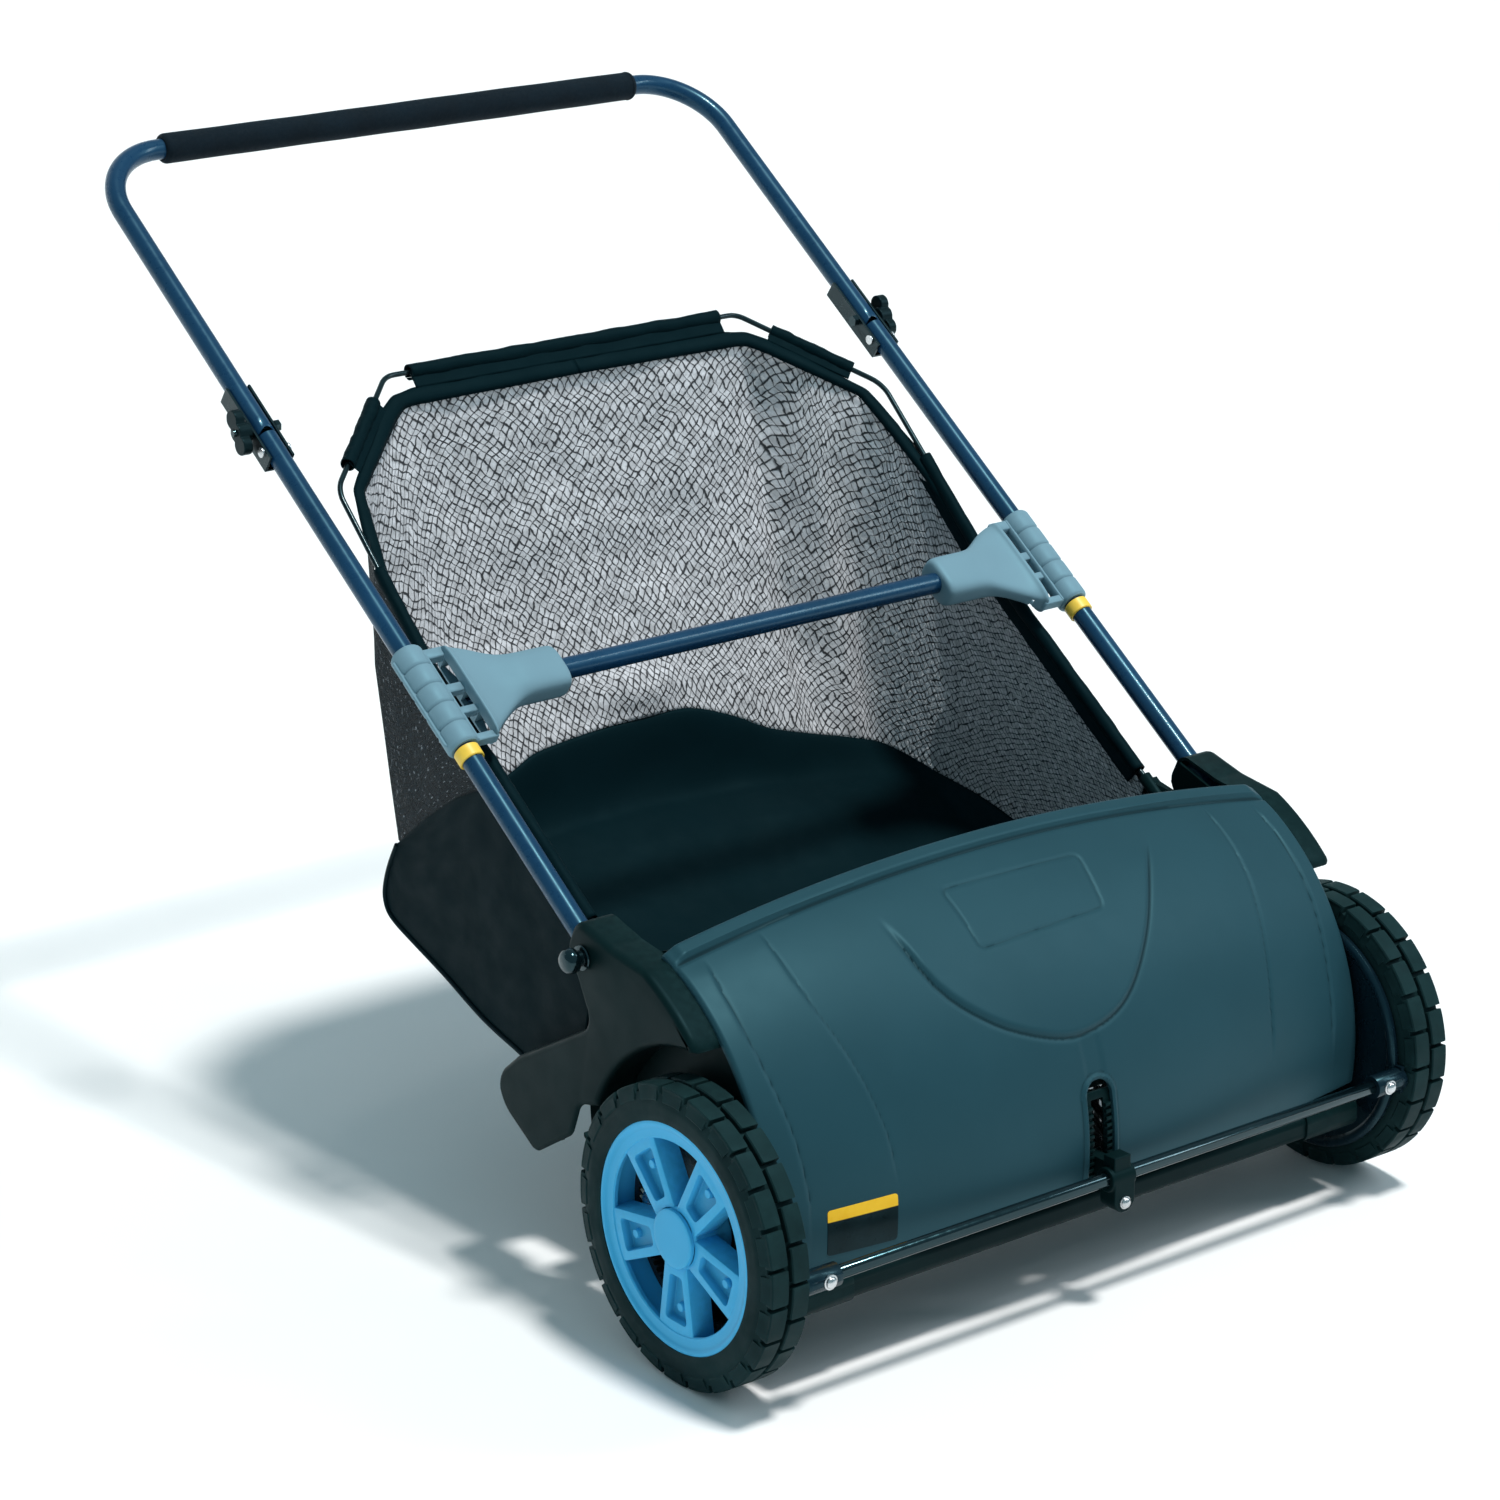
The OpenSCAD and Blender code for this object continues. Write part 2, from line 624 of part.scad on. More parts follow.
// Outline of the ring gear's opening, with a gap centred at angle 0
function ring_hole() = let(pitch_r = gear_module * ring_teeth / 2)
  [for (i = [0:ring_teeth - 1], p = [
      [pitch_r - addendum, ring_tip - half_pitch], [pitch_r + dedendum, ring_root - half_pitch],
      [pitch_r + dedendum, half_pitch - ring_root], [pitch_r - addendum, half_pitch - ring_tip]])
    polar(p[0], (i + p[1] / (2 * half_pitch)) * 360 / ring_teeth)];
module ring_gear(side) color([0.06, 0.06, 0.065]) wheel_frame(side) translate([0, 0, gear_in])
  linear_extrude(gear_w) difference() {
    circle(r = rim_r - 9);
    rotate(90) polygon(ring_hole());
  }
module ring_gear_left() ring_gear(left);
module ring_gear_right() ring_gear(right);

module wheel_bush(side) color([0.75, 0.72, 0.62]) wheel_frame(side) difference() {
  translate([0, 0, 1.5]) cylinder(h = 28.7, r = 11);
  cylinder(h = 60, r = axle_r + run_gap);
}
module wheel_bush_left() wheel_bush(left);
module wheel_bush_right() wheel_bush(right);

module hub_cap(side) color([0.28, 0.6, 0.8]) wheel_frame(side) {
  translate([0, 0, 38.5]) cylinder(h = 2.5, r = 25);
  translate([0, 0, 41]) cylinder(h = 1.2, r1 = 25, r2 = 23.5);
}
module hub_cap_left() hub_cap(left);
module hub_cap_right() hub_cap(right);

// Brush -----------------------------------------------------------------------------

module brush_frame() axle_frame() translate([0, brush_y, brush_z]) children();
shaft_half = tyre_in_x + 16.5;

module brush_shaft() color([0.7, 0.71, 0.73]) brush_frame() difference() {
  bar_x(-shaft_half, shaft_half, axle_r);
  both_sides() block([tyre_in_x + gear_in, -2, axle_r - 3], [tyre_in_x + gear_in + gear_w, 2, axle_r + 1]);
}

core_half = 308;
module brush_core() color([0.05, 0.055, 0.06]) brush_frame() difference() {
  union() {
    bar_x(-core_half, core_half, 28);
    both_sides() bar_x(core_half - 6, core_half, 36);
  }
  bar_x(-core_half - 1, core_half + 1, axle_r);
  difference() {
    bar_x(-core_half + 8, core_half - 8, 25);
    bar_x(-core_half, core_half, 12);
  }
  for (i = [0:brush_rows - 1]) rotate([i * 360 / brush_rows, 0, 0])
    block([-302, -4, -29], [302, 4, -24]);
}

module bristle_rows() color([0.1, 0.1, 0.11]) brush_frame()
  for (i = [0:brush_rows - 1]) rotate([i * 360 / brush_rows, 0, 0]) {
    block([-301, -3.5, -60], [301, 3.5, -25.5]);
    block([-301, -4.5, -brush_r], [301, 4.5, -60]);
  }

function pinion_outline() = let(pitch_r = gear_module * pinion_teeth / 2, step = 360 / pinion_teeth)
  [for (i = [0:pinion_teeth - 1], p = [
      [pitch_r - dedendum, -tooth_root], [pitch_r + addendum, -tooth_tip],
      [pitch_r + addendum, tooth_tip], [pitch_r - dedendum, tooth_root]])
    polar(p[0], i * step) + p[1] * polar(1, i * step + 90)];
module pinion(side) color([0.8, 0.8, 0.76]) brush_frame() on_side(side) difference() {
  slab(pinion_outline(), tyre_in_x + gear_in + 0.5, tyre_in_x + gear_in + gear_w - 0.5);
  bar_x(tyre_in_x, tyre_in_x + 20, axle_r);
  block([tyre_in_x, -2, 0], [tyre_in_x + 20, 2, axle_r + 2]);
}
module pinion_left() pinion(left);
module pinion_right() pinion(right);

// Keys that carry the turning force from the pinions to the shaft
module drive_keys() color([0.72, 0.73, 0.75]) brush_frame() both_sides()
  block([tyre_in_x + gear_in + 0.5, -2, axle_r - 3], [tyre_in_x + gear_in + gear_w - 0.5, 2, axle_r + 2]);

module shaft_clips() color([0.6, 0.61, 0.63]) brush_frame() both_sides() difference() {
  bar_x(tyre_in_x + gear_in + gear_w, tyre_in_x + gear_in + gear_w + 1.5, 12);
  bar_x(tyre_in_x, tyre_in_x + 30, axle_r);
}

// Bag -----------------------------------------------------------------------------------

wire_path = concat(
  [for (p = wire_half) on_handle(p.x, p.y, p.z)],
  [for (i = [len(wire_half) - 1:-1:0]) on_handle(-wire_half[i].x, wire_half[i].y, wire_half[i].z)]);

module bag_frame() color([0.03, 0.035, 0.04]) axle_frame() {
  for (i = [0:len(wire_path) - 2]) link(wire_path[i], wire_path[i + 1], wire_d / 2);
  for (i = [1:len(wire_path) - 2]) translate(wire_path[i]) sphere(r = wire_d / 2 + 0.3);
}

// Fabric sleeves on the wire: start and end as shares of a stretch of the wire
module sleeve(a, b, from, to, r) difference() {
  link(a + (b - a) * from, a + (b - a) * to, r);
  link(a - (b - a) * 0.1, b + (b - a) * 0.1, wire_d / 2 + run_gap);
}
sleeve_r = 8;
module bag_sleeves() color([0.03, 0.035, 0.045]) axle_frame() {
  last = len(wire_path) - 1;
  sleeve(wire_path[3], wire_path[4], 0.065, 0.935, sleeve_r);
  for (ends = [[0, 1, 2, 3], [last, last - 1, last - 2, last - 3]]) {
    sleeve(wire_path[ends[0]], wire_path[ends[1]], 0.2, 0.98, sleeve_r - 1);
    sleeve(wire_path[ends[1]], wire_path[ends[2]], 0.03, 0.93, sleeve_r - 1);
    sleeve(wire_path[ends[2]], wire_path[ends[3]], 0.22, 0.72, sleeve_r);
  }
}

// Corners of the bag's outer form on one side, and of the space inside it
bag_corners = [
  on_handle(bag_half, -34, 262), on_handle(bag_half, -34, 560), on_handle(309, -11, 742),
  on_handle(204, -6, 857), [bag_half, 252, 158], [bag_half, 494, 246], [bag_half, 500, 330],
  [200, 545, 330], [200, 600, 520]
];
space_corners = [
  on_handle(bag_half - fabric_t, 30, 230), on_handle(bag_half - fabric_t, 30, 560),
  on_handle(307 - fabric_t, 30, 741), on_handle(204, 30, 852), on_handle(204, -8, 852),
  on_handle(309 - fabric_t, -14, 739), [bag_half - fabric_t, 214, 148],
  [bag_half - fabric_t, 490, 248], [bag_half - fabric_t, 496, 330],
  [200 - fabric_t, 541, 331], [200 - fabric_t, 596, 521]
];
module solid_of(corners) hull() for (p = corners, q = [p, mirrored(p)])
  translate(q) cube(0.02, center = true);
module bag_skin() difference() {
  solid_of(bag_corners);
  solid_of(space_corners);
  // The mouth, which stays below the wire and its sleeves
  axle_to_handle() slab([[34, 200], [34, 560], [11, 742], [6, 857], [6, 900], [-60, 900], [-60, 200]],
                        -330, 330);
}
// Region under the top of the bag's floor, whose underside runs through two of the corners
floor_front = [252, 158];
floor_rise = (246 - floor_front.y) / (494 - floor_front.x);
function floor_top(y) = floor_front.y + floor_rise * (y - floor_front.x) + fabric_t * 1.1;
floor_line = [[150, floor_top(150)], [640, floor_top(640)], [640, 100], [150, 100]];
module bag_floor() color([0.03, 0.05, 0.06]) axle_frame() intersection() {
  bag_skin();
  slab(floor_line, -330, 330);
}
module bag_side(side) color([0.05, 0.06, 0.08]) axle_frame() intersection() {
  bag_skin();
  difference() {
    on_side(side) block([bag_half - fabric_t, 100, 120], [330, 700, 720]);
    slab(floor_line, -330, 330);
  }
}
module bag_side_left() bag_side(left);
module bag_side_right() bag_side(right);
module bag_rear() color([0.45, 0.45, 0.48]) axle_frame() intersection() {
  bag_skin();
  difference() {
    block([-bag_half + fabric_t, 400, 120], [bag_half - fabric_t, 760, 720]);
    slab(floor_line, -330, 330);
  }
}

// Draw ------------------------------------------------------------------------------------

front_cover();
slot_rack();
label_plate();
side_cover_left();
side_cover_right();
end_plate_left();
end_plate_right();
lower_rail();
rear_chute();
housing_screws();
bag_sockets();
brush_bushes();
lower_tube_left();
lower_tube_right();
tube_bolts();
crossbar();
clamp_left();
clamp_right();
stop_rings();
fold_bracket_left();
fold_bracket_right();
bracket_rivets();
upper_handle();
foam_grip();
fold_bolts();
wing_knob_left();
wing_knob_right();
carrier_left();
carrier_right();
stub_axle_left();
stub_axle_right();
axle_nuts();
front_rod();
rod_screws();
adjuster_bracket();
height_bolt();
tyre_left();
tyre_right();
hub_left();
hub_right();
ring_gear_left();
ring_gear_right();
wheel_bush_left();
wheel_bush_right();
hub_cap_left();
hub_cap_right();
brush_shaft();
brush_core();
bristle_rows();
pinion_left();
pinion_right();
drive_keys();
shaft_clips();
bag_frame();
bag_sleeves();
bag_floor();
bag_side_left();
bag_side_right();
bag_rear();
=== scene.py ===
"""Looks of a push lawn sweeper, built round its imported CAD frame.
Sizes are in millimetres: x across, y behind and z above the line where the wheels stand.
place() turns them into the frame's metres."""
import math
import random

import bmesh
import bpy
import numpy as np
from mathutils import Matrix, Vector, noise


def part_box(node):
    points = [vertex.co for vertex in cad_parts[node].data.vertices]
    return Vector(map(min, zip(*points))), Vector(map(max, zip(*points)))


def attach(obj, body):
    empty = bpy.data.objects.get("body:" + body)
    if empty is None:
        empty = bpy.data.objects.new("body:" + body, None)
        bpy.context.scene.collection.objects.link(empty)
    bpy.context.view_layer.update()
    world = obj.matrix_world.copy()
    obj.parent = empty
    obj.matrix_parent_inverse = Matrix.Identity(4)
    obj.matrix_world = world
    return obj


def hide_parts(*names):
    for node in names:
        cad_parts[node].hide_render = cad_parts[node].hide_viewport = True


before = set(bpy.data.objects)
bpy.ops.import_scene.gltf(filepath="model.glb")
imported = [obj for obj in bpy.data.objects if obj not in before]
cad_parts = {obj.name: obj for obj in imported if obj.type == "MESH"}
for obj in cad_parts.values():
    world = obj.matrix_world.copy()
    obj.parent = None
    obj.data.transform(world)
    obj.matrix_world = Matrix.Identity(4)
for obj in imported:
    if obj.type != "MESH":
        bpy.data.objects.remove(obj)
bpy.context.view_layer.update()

SIDES = ((-1, "left"), (1, "right"))
rng = random.Random(7)
tyre_low, tyre_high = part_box("tyre_left")
AXLE_Y = 500 * (tyre_low.y + tyre_high.y)
WHEEL_R = 500 * (tyre_high.z - tyre_low.z)
TYRE_OUT = -1000 * tyre_low.x
TYRE_W = 1000 * (tyre_high.x - tyre_low.x)


def place(points):
    """The sweeper's millimetres as the frame's metres."""
    return (np.asarray(points, float).reshape(-1, 3) + [0, AXLE_Y, 0]) / 1000


def new_object(name, data):
    o = bpy.data.objects.new(name, data)
    bpy.context.scene.collection.objects.link(o)
    return o


# Camera, first ---------------------------------------------

camera = new_object("camera", bpy.data.cameras.new("camera"))
bpy.context.scene.camera = camera
camera.data.lens = 104
camera.data.sensor_width = 36
camera.data.clip_end = 50
eye, aim = (Vector(p) for p in place([(-2264.0, -2506.0, 1602.1), (-298.6, 0, 521.1)]))
camera.location = eye
camera.rotation_euler = (aim - eye).to_track_quat("-Z", "Y").to_euler()

# Handle plane: x across, n above it, s up the tubes --------

TILT = math.radians(35)
FOOT = np.array([0, -39.6, 183.6])
UP = np.array([0, math.cos(TILT), math.sin(TILT)])
ABOVE = np.array([0, -math.sin(TILT), math.cos(TILT)])
TUBE_X, TUBE_R, TUBE_WALL = 341.3, 9.5, 1.2
BOLT_S, RING_S, CLAMP_S, CROSSBAR_S, FOLD_S, GRIP_S = 230, 438, 453, 507.7, 823, 1162


def handle(points):
    """Points (x, above, up the tubes) in the sweeper's millimetres."""
    p = np.asarray(points, float).reshape(-1, 3)
    return FOOT + p[:, :1] * [1, 0, 0] + p[:, 1:2] * ABOVE + p[:, 2:] * UP


def flipped(points):
    return np.asarray(points, float).reshape(-1, 3) * [-1, 1, 1]


# Mesh building ---------------------------------------------


def at_axis(axis, a, u, v):
    """The point a along an axis, and u and v across it."""
    return {"x": (a, u, v), "y": (u, a, v), "z": (u, v, a)}[axis]


class Shape:
    """Vertices and faces of one piece. at turns what is added into place."""

    def __init__(self, at=None):
        self.v, self.f, self.uv, self.at = [], [], [], at

    def add(self, points, faces, uv=None):
        base = len(self.v)
        points = np.asarray(points, float).reshape(-1, 3)
        if self.at:
            points = self.at(points)
        self.v += points.tolist()
        self.uv += [(0, 0)] * len(points) if uv is None else uv
        self.f += [tuple(i + base for i in face) for face in faces]
        return self

    def grid(self, rows, around=False, ends=False, along=False, uv=None):
        """A sheet of quads; around closes each row, along joins the last row to the first, ends caps them."""
        n, m = len(rows), len(rows[0])
        faces = [(i * m + j, i * m + (j + 1) % m, (i + 1) % n * m + (j + 1) % m, (i + 1) % n * m + j)
                 for i in range(n if along else n - 1) for j in range(m if around else m - 1)]
        if ends:
            faces += [tuple(range(m))[::-1], tuple(range((n - 1) * m, n * m))]
        return self.add(np.concatenate([np.asarray(r, float) for r in rows]), faces, uv)

    def lathe(self, profile, u=0, v=0, axis="x", n=64, loop=False):
        """profile is (distance along the axis, radius), u and v place the axis; loop closes the profile."""
        turn = [2 * math.pi * k / n for k in range(n)]
        rows = [[at_axis(axis, a, u + r * math.cos(t), v + r * math.sin(t)) for t in turn] for a, r in profile]
        return self.grid(rows, around=True, along=loop)

    def tube(self, path, r, n):
        """Round bar along a path."""
        path = np.asarray(path, float)
        ahead = headings(path)
        side = np.cross(ahead[0], [0.31, 0.17, 0.93] if abs(ahead[0][2]) < 0.9 else [1, 0, 0])
        rows = []
        for p, a in zip(path, ahead):
            side = side - a * (side @ a)
            side /= np.linalg.norm(side)
            other = np.cross(a, side)
            rows.append([p + r * math.cos(t) * side + r * math.sin(t) * other
                         for t in [2 * math.pi * k / n for k in range(n)]])
        return self.grid(rows, around=True, ends=True)

    def stack(self, outline, levels, axis="x", ends=False):
        """Walls over a closed outline; levels are (distance along the axis, how far the outline moves in)."""
        rows = [[at_axis(axis, a, *p) for p in inset(outline, d)] for a, d in levels]
        return self.grid(rows, around=True, ends=ends)

    def prism(self, outline, low, high, axis="x", round_by=0, steps=3):
        """Solid over a closed outline, its two rims rounded inwards by round_by."""
        outline = ccw(outline)
        ends = [(low + round_by * (1 - math.sin(t)), round_by * (1 - math.cos(t)))
                for t in np.linspace(math.pi / 2, 0, steps + 1)] if round_by else [(low, 0)]
        ends += [(low + high - a, d) for a, d in ends[::-1]]
        return self.stack(outline, ends, axis, ends=True)

    def box(self, low, high):
        (a, b, c), (d, e, f) = low, high
        return self.prism([(b, c), (e, c), (e, f), (b, f)], a, d)

    def both(self, build):
        """Builds on the right side and mirrored on the left."""
        keep = self.at
        build(self)
        self.at = (lambda p: keep(flipped(p))) if keep else flipped
        build(self)
        self.at = keep
        return self


def area(outline):
    x, y = np.asarray(outline, float).T
    return 0.5 * float(np.sum(x * np.roll(y, -1) - y * np.roll(x, -1)))


def ccw(outline):
    """The outline, turned counter-clockwise."""
    outline = np.asarray(outline, float)
    return outline if area(outline) > 0 else outline[::-1]


def inset(outline, d):
    """A counter-clockwise outline moved inwards by d."""
    p = np.asarray(outline, float)
    if not d:
        return p
    edge = np.roll(p, -1, 0) - p
    edge /= np.linalg.norm(edge, axis=1)[:, None]
    normal = np.stack([-edge[:, 1], edge[:, 0]], 1)
    before = np.roll(normal, 1, 0)
    return p + d * (before + normal) / (1 + np.sum(before * normal, 1))[:, None]


def rounded(points, radius, closed=True, steps=5):
    """Polyline with its corners turned into arcs. radius is one number or one per corner."""
    p = [np.asarray(q, float) for q in points]
    radius = [radius] * len(p) if np.isscalar(radius) else radius
    out = []
    for i, q in enumerate(p):
        if not closed and i in (0, len(p) - 1):
            out.append(q)
            continue
        a, b = p[i - 1] - q, p[(i + 1) % len(p)] - q
        la, lb = np.linalg.norm(a), np.linalg.norm(b)
        half = math.acos(max(-1, min(1, float(a @ b) / la / lb))) / 2
        cut = min(radius[i] / math.tan(half), la * 0.48, lb * 0.48) if half < 1.55 else 0
        if cut < 1e-3:
            out.append(q)
            continue
        start, end = q + a / la * cut, q + b / lb * cut
        for t in np.linspace(0, 1, steps + 1):
            out.append((1 - t) ** 2 * start + 2 * t * (1 - t) * (q * 0.72 + (start + end) * 0.14) + t * t * end)
    return out


def arc(cy, cz, r, a0, a1, n):
    return [(cy + r * math.cos(math.radians(a)), cz + r * math.sin(math.radians(a))) for a in np.linspace(a0, a1, n)]


def run_along(p):
    """Length from the start of a polyline to each of its points."""
    return np.concatenate([[0], np.cumsum(np.linalg.norm(np.diff(p, axis=0), axis=1))])


def headings(path):
    """Unit vectors along a path."""
    ahead = np.gradient(path, axis=0)
    return ahead / np.linalg.norm(ahead, axis=1)[:, None]


def spread(points, n):
    """n points spread evenly along a polyline."""
    p = np.asarray(points, float)
    run = run_along(p)
    return np.stack([np.interp(np.linspace(0, run[-1], n), run, p[:, k]) for k in range(p.shape[1])], 1)


def spline(points, n):
    """n points on a smooth curve through the given ones, evenly spread."""
    p = np.asarray(points, float)
    p = np.vstack([2 * p[0] - p[1], p, 2 * p[-1] - p[-2]])
    out = []
    for a, b, c, d in zip(p[:-3], p[1:-2], p[2:-1], p[3:]):
        # Tangents are held to the shorter neighbour, so that uneven spacing makes no loops
        near = min(np.linalg.norm(c - b), np.linalg.norm(b - a), np.linalg.norm(d - c))
        ta, tb = ((v / np.linalg.norm(v)) * min(np.linalg.norm(v) / 2, 1.2 * np.linalg.norm(c - b), 3 * near)
                  for v in (c - a, d - b))
        for t in np.linspace(0, 1, 16, endpoint=False):
            h = t * t * (3 - 2 * t)
            out.append(b + (c - b) * h + ta * t * (1 - t) ** 2 - tb * t * t * (1 - t))
    return spread(out + [p[-2]], n)


def bell(x, centre, width):
    return np.exp(-((x - centre) / width) ** 2)


def arch(t):
    """Rises from 0 at t = 0 to 1 in the middle and back to 0 at t = 1."""
    return np.sin(math.pi * t)


def smooth_step(x, a, b):
    t = np.clip((x - a) / (b - a), 0, 1)
    return t * t * (3 - 2 * t)


def shade(o, sharp):
    o.data.shade_smooth()
    o.data.set_sharp_from_angle(angle=math.radians(sharp))


def show(o, slot, body, nodes, look, sharp):
    """Shading, the material of its slot, body and replaced CAD nodes of a shown object."""
    shade(o, sharp)
    o.data.materials.clear()
    o.data.materials.append(look or LOOKS[slot])
    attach(o, body)
    if nodes:
        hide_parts(*nodes)
    return o


def soup_mesh(name, soup):
    """The bmesh soup as a mesh."""
    mesh = bpy.data.meshes.new(name)
    soup.to_mesh(mesh)
    soup.free()
    return mesh


def mesh_of(shape, name):
    mesh = bpy.data.meshes.new(name)
    mesh.from_pydata(place(shape.v).tolist(), [], shape.f)
    return mesh


def evaluated(o):
    """A new mesh with the object's modifiers applied."""
    return bpy.data.meshes.new_from_object(o.evaluated_get(bpy.context.evaluated_depsgraph_get()))


def round_edges(o, width, segments, sharp):
    m = o.modifiers.new("edges", "BEVEL")
    m.width, m.segments, m.limit_method = width / 1000, segments, "ANGLE"
    m.angle_limit, m.harden_normals = math.radians(sharp), True


def piece(name, shape, slot, body, *nodes, look=None, sharp=38, bevel=0, sub=0, thick=0, weld=0.004):
    """One shown object: its mesh, material slot, body and the CAD nodes that it stands for."""
    mesh = mesh_of(shape, name)
    if any(u != (0, 0) for u in shape.uv):
        layer = mesh.uv_layers.new(name="cloth")
        for loop in mesh.loops:
            layer.data[loop.index].uv = shape.uv[loop.vertex_index]
    soup = bmesh.new()
    soup.from_mesh(mesh)
    bmesh.ops.remove_doubles(soup, verts=soup.verts, dist=weld / 1000)
    bmesh.ops.dissolve_degenerate(soup, edges=soup.edges, dist=1e-7)
    bmesh.ops.recalc_face_normals(soup, faces=soup.faces)
    soup.to_mesh(mesh)
    soup.free()
    o = new_object(name, mesh)
    if thick:
        m = o.modifiers.new("thickness", "SOLIDIFY")
        m.thickness, m.offset = thick / 1000, 0
    if bevel:
        round_edges(o, bevel, 2, sharp)
    if sub:
        m = o.modifiers.new("smooth", "SUBSURF")
        m.levels = m.render_levels = sub
    return show(o, slot, body, nodes, look, sharp)


def softened(name, nodes, voxel, smooth, slot, body):
    """A moulded form of CAD nodes: their meshes joined, remeshed fine and smoothed at the edges."""
    soup = bmesh.new()
    for node in nodes:
        soup.from_mesh(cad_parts[node].data)
    bmesh.ops.remove_doubles(soup, verts=soup.verts, dist=1e-6)
    rough = new_object(name, soup_mesh(name, soup))
    m = rough.modifiers.new("remesh", "REMESH")
    m.mode, m.voxel_size, m.use_smooth_shade = "VOXEL", voxel / 1000, True
    m = rough.modifiers.new("soften", "SMOOTH")
    m.factor, m.iterations = 0.5, smooth
    final = evaluated(rough)
    bpy.data.objects.remove(rough)
    return show(new_object(name, final), slot, body, nodes, None, 60)


# Finishes --------------------------------------------------


class Finish:
    """A node material. Its patterns lie in the frame's metres, or in a cloth's own flat metres."""

    def __init__(self, name, cloth=False, **shader):
        self.material = bpy.data.materials.new(name)
        self.material.use_nodes = True
        self.tree = self.material.node_tree
        self.shader = self.tree.nodes["Principled BSDF"]
        self.where = self.node("ShaderNodeTexCoord").outputs["UV" if cloth else "Object"]
        for socket, value in shader.items():
            self.shader.inputs[socket.replace("_", " ")].default_value = value

    def node(self, kind, inputs=(), **settings):
        made = self.tree.nodes.new(kind)
        for key, value in settings.items():
            setattr(made, key, value)
        for key, value in dict(inputs).items():
            if isinstance(value, bpy.types.NodeSocket):
                self.tree.links.new(value, made.inputs[key])
            else:
                made.inputs[key].default_value = value
        return made

    def noise(self, scale, detail, stretch=(1, 1, 1)):
        vector = self.node("ShaderNodeMapping", {"Vector": self.where, "Scale": stretch}).outputs[0]
        return self.node("ShaderNodeTexNoise", {"Vector": vector, "Scale": scale, "Detail": detail}).outputs["Fac"]

    def cells(self, scale):
        return self.node("ShaderNodeTexVoronoi", {"Vector": self.where, "Scale": scale}).outputs["Distance"]

    def span(self, value, low, high, a=0.0, b=1.0):
        """value's range low..high turned into a..b, and held there."""
        return self.node("ShaderNodeMapRange", {"Value": value, "From Min": low, "From Max": high,
                                                "To Min": a, "To Max": b}).outputs["Result"]

    def cloud(self, scale, detail, low=0.3, high=0.7, a=0.0, b=1.0):
        """Noise whose range low..high is turned into a..b."""
        return self.span(self.noise(scale, detail), low, high, a, b)

    def blotched(self, colour, dark, light, *cloud):
        """A colour clouded from a darker to a lighter tone of itself."""
        return self.mix(self.cloud(*cloud), tone(colour, dark), tone(colour, light))

    def sum(self, operation, a, b=0.0):
        return self.node("ShaderNodeMath", {0: a, 1: b}, operation=operation).outputs[0]

    def mix(self, share, a, b):
        a, b = ((*c, 1) if isinstance(c, tuple) and len(c) == 3 else c for c in (a, b))
        made = self.node("ShaderNodeMix", {"Factor": share, 6: a, 7: b}, data_type="RGBA")
        return made.outputs[2]

    def axis(self, letter):
        return self.node("ShaderNodeSeparateXYZ", {0: self.where}).outputs["XYZ".index(letter)]

    def edges(self, low=0.52, high=0.6):
        """1 on outer edges, broken up as wear is."""
        worn = self.span(self.node("ShaderNodeNewGeometry").outputs["Pointiness"], low, high)
        return self.sum("MULTIPLY", worn, self.cloud(140, 4, 0.35, 0.7))

    def relief(self, *layers):
        """Stacked bumps of (height socket, depth in millimetres)."""
        normal = None
        for height, depth in layers:
            inputs = {"Height": height, "Distance": depth / 1000, "Strength": 1}
            if normal:
                inputs["Normal"] = normal
            normal = self.node("ShaderNodeBump", inputs).outputs[0]
        self.set("Normal", normal)

    def set(self, socket, value):
        self.tree.links.new(value, self.shader.inputs[socket])


def tone(colour, by):
    return tuple(min(1, c * by) for c in colour)


def moulded(name, colour, rough, spread=0.12, grain=1400, depth=0.012, wave=0.04, worn=1.6, lift=0.003, vary=0.05,
            groove_shade=0.3, **shader):
    """Injection-moulded plastic: clouded colour, fine grain, slow waves, paler worn edges and painted shade in its
    grooves.
    """
    f = Finish(name, **shader)
    body = f.blotched(colour, 1 - spread, 1 + spread, 11, 4, 0.35, 0.65)
    pale = tuple(min(1, c * worn + lift) for c in colour)
    dust = f.sum("MULTIPLY", f.cloud(34, 5, 0.5, 0.78), 0.08)
    body = f.mix(dust, body, tuple(1.1 * c + 0.006 for c in colour))
    # Painted shade: grooves and other hollow places, found by their pointiness, are darkened
    low = f.span(f.node("ShaderNodeNewGeometry").outputs["Pointiness"], 0.492, 0.462)
    body = f.mix(f.sum("MULTIPLY", low, groove_shade), body, tone(colour, 0.2))
    f.set("Base Color", f.mix(f.edges(), body, pale))
    f.set("Roughness", f.cloud(48, 4, a=rough - vary, b=rough + vary))
    f.relief((f.noise(7, 2), wave), (f.noise(grain, 2), depth))
    return f.material


def metal(name, colour, rough, **shader):
    """Plated steel with small pits and stained patches."""
    f = Finish(name, Metallic=1.0, **shader)
    stain = f.mix(f.cloud(60, 5, 0.52, 0.75), colour, tone(colour, 0.72))
    f.set("Base Color", f.mix(f.edges(), stain, tone(colour, 1.25)))
    f.set("Roughness", f.cloud(900, 3, a=rough - 0.08, b=rough + 0.1))
    f.relief((f.noise(90, 3), 0.03), (f.noise(1500, 2), 0.006))
    return f.material


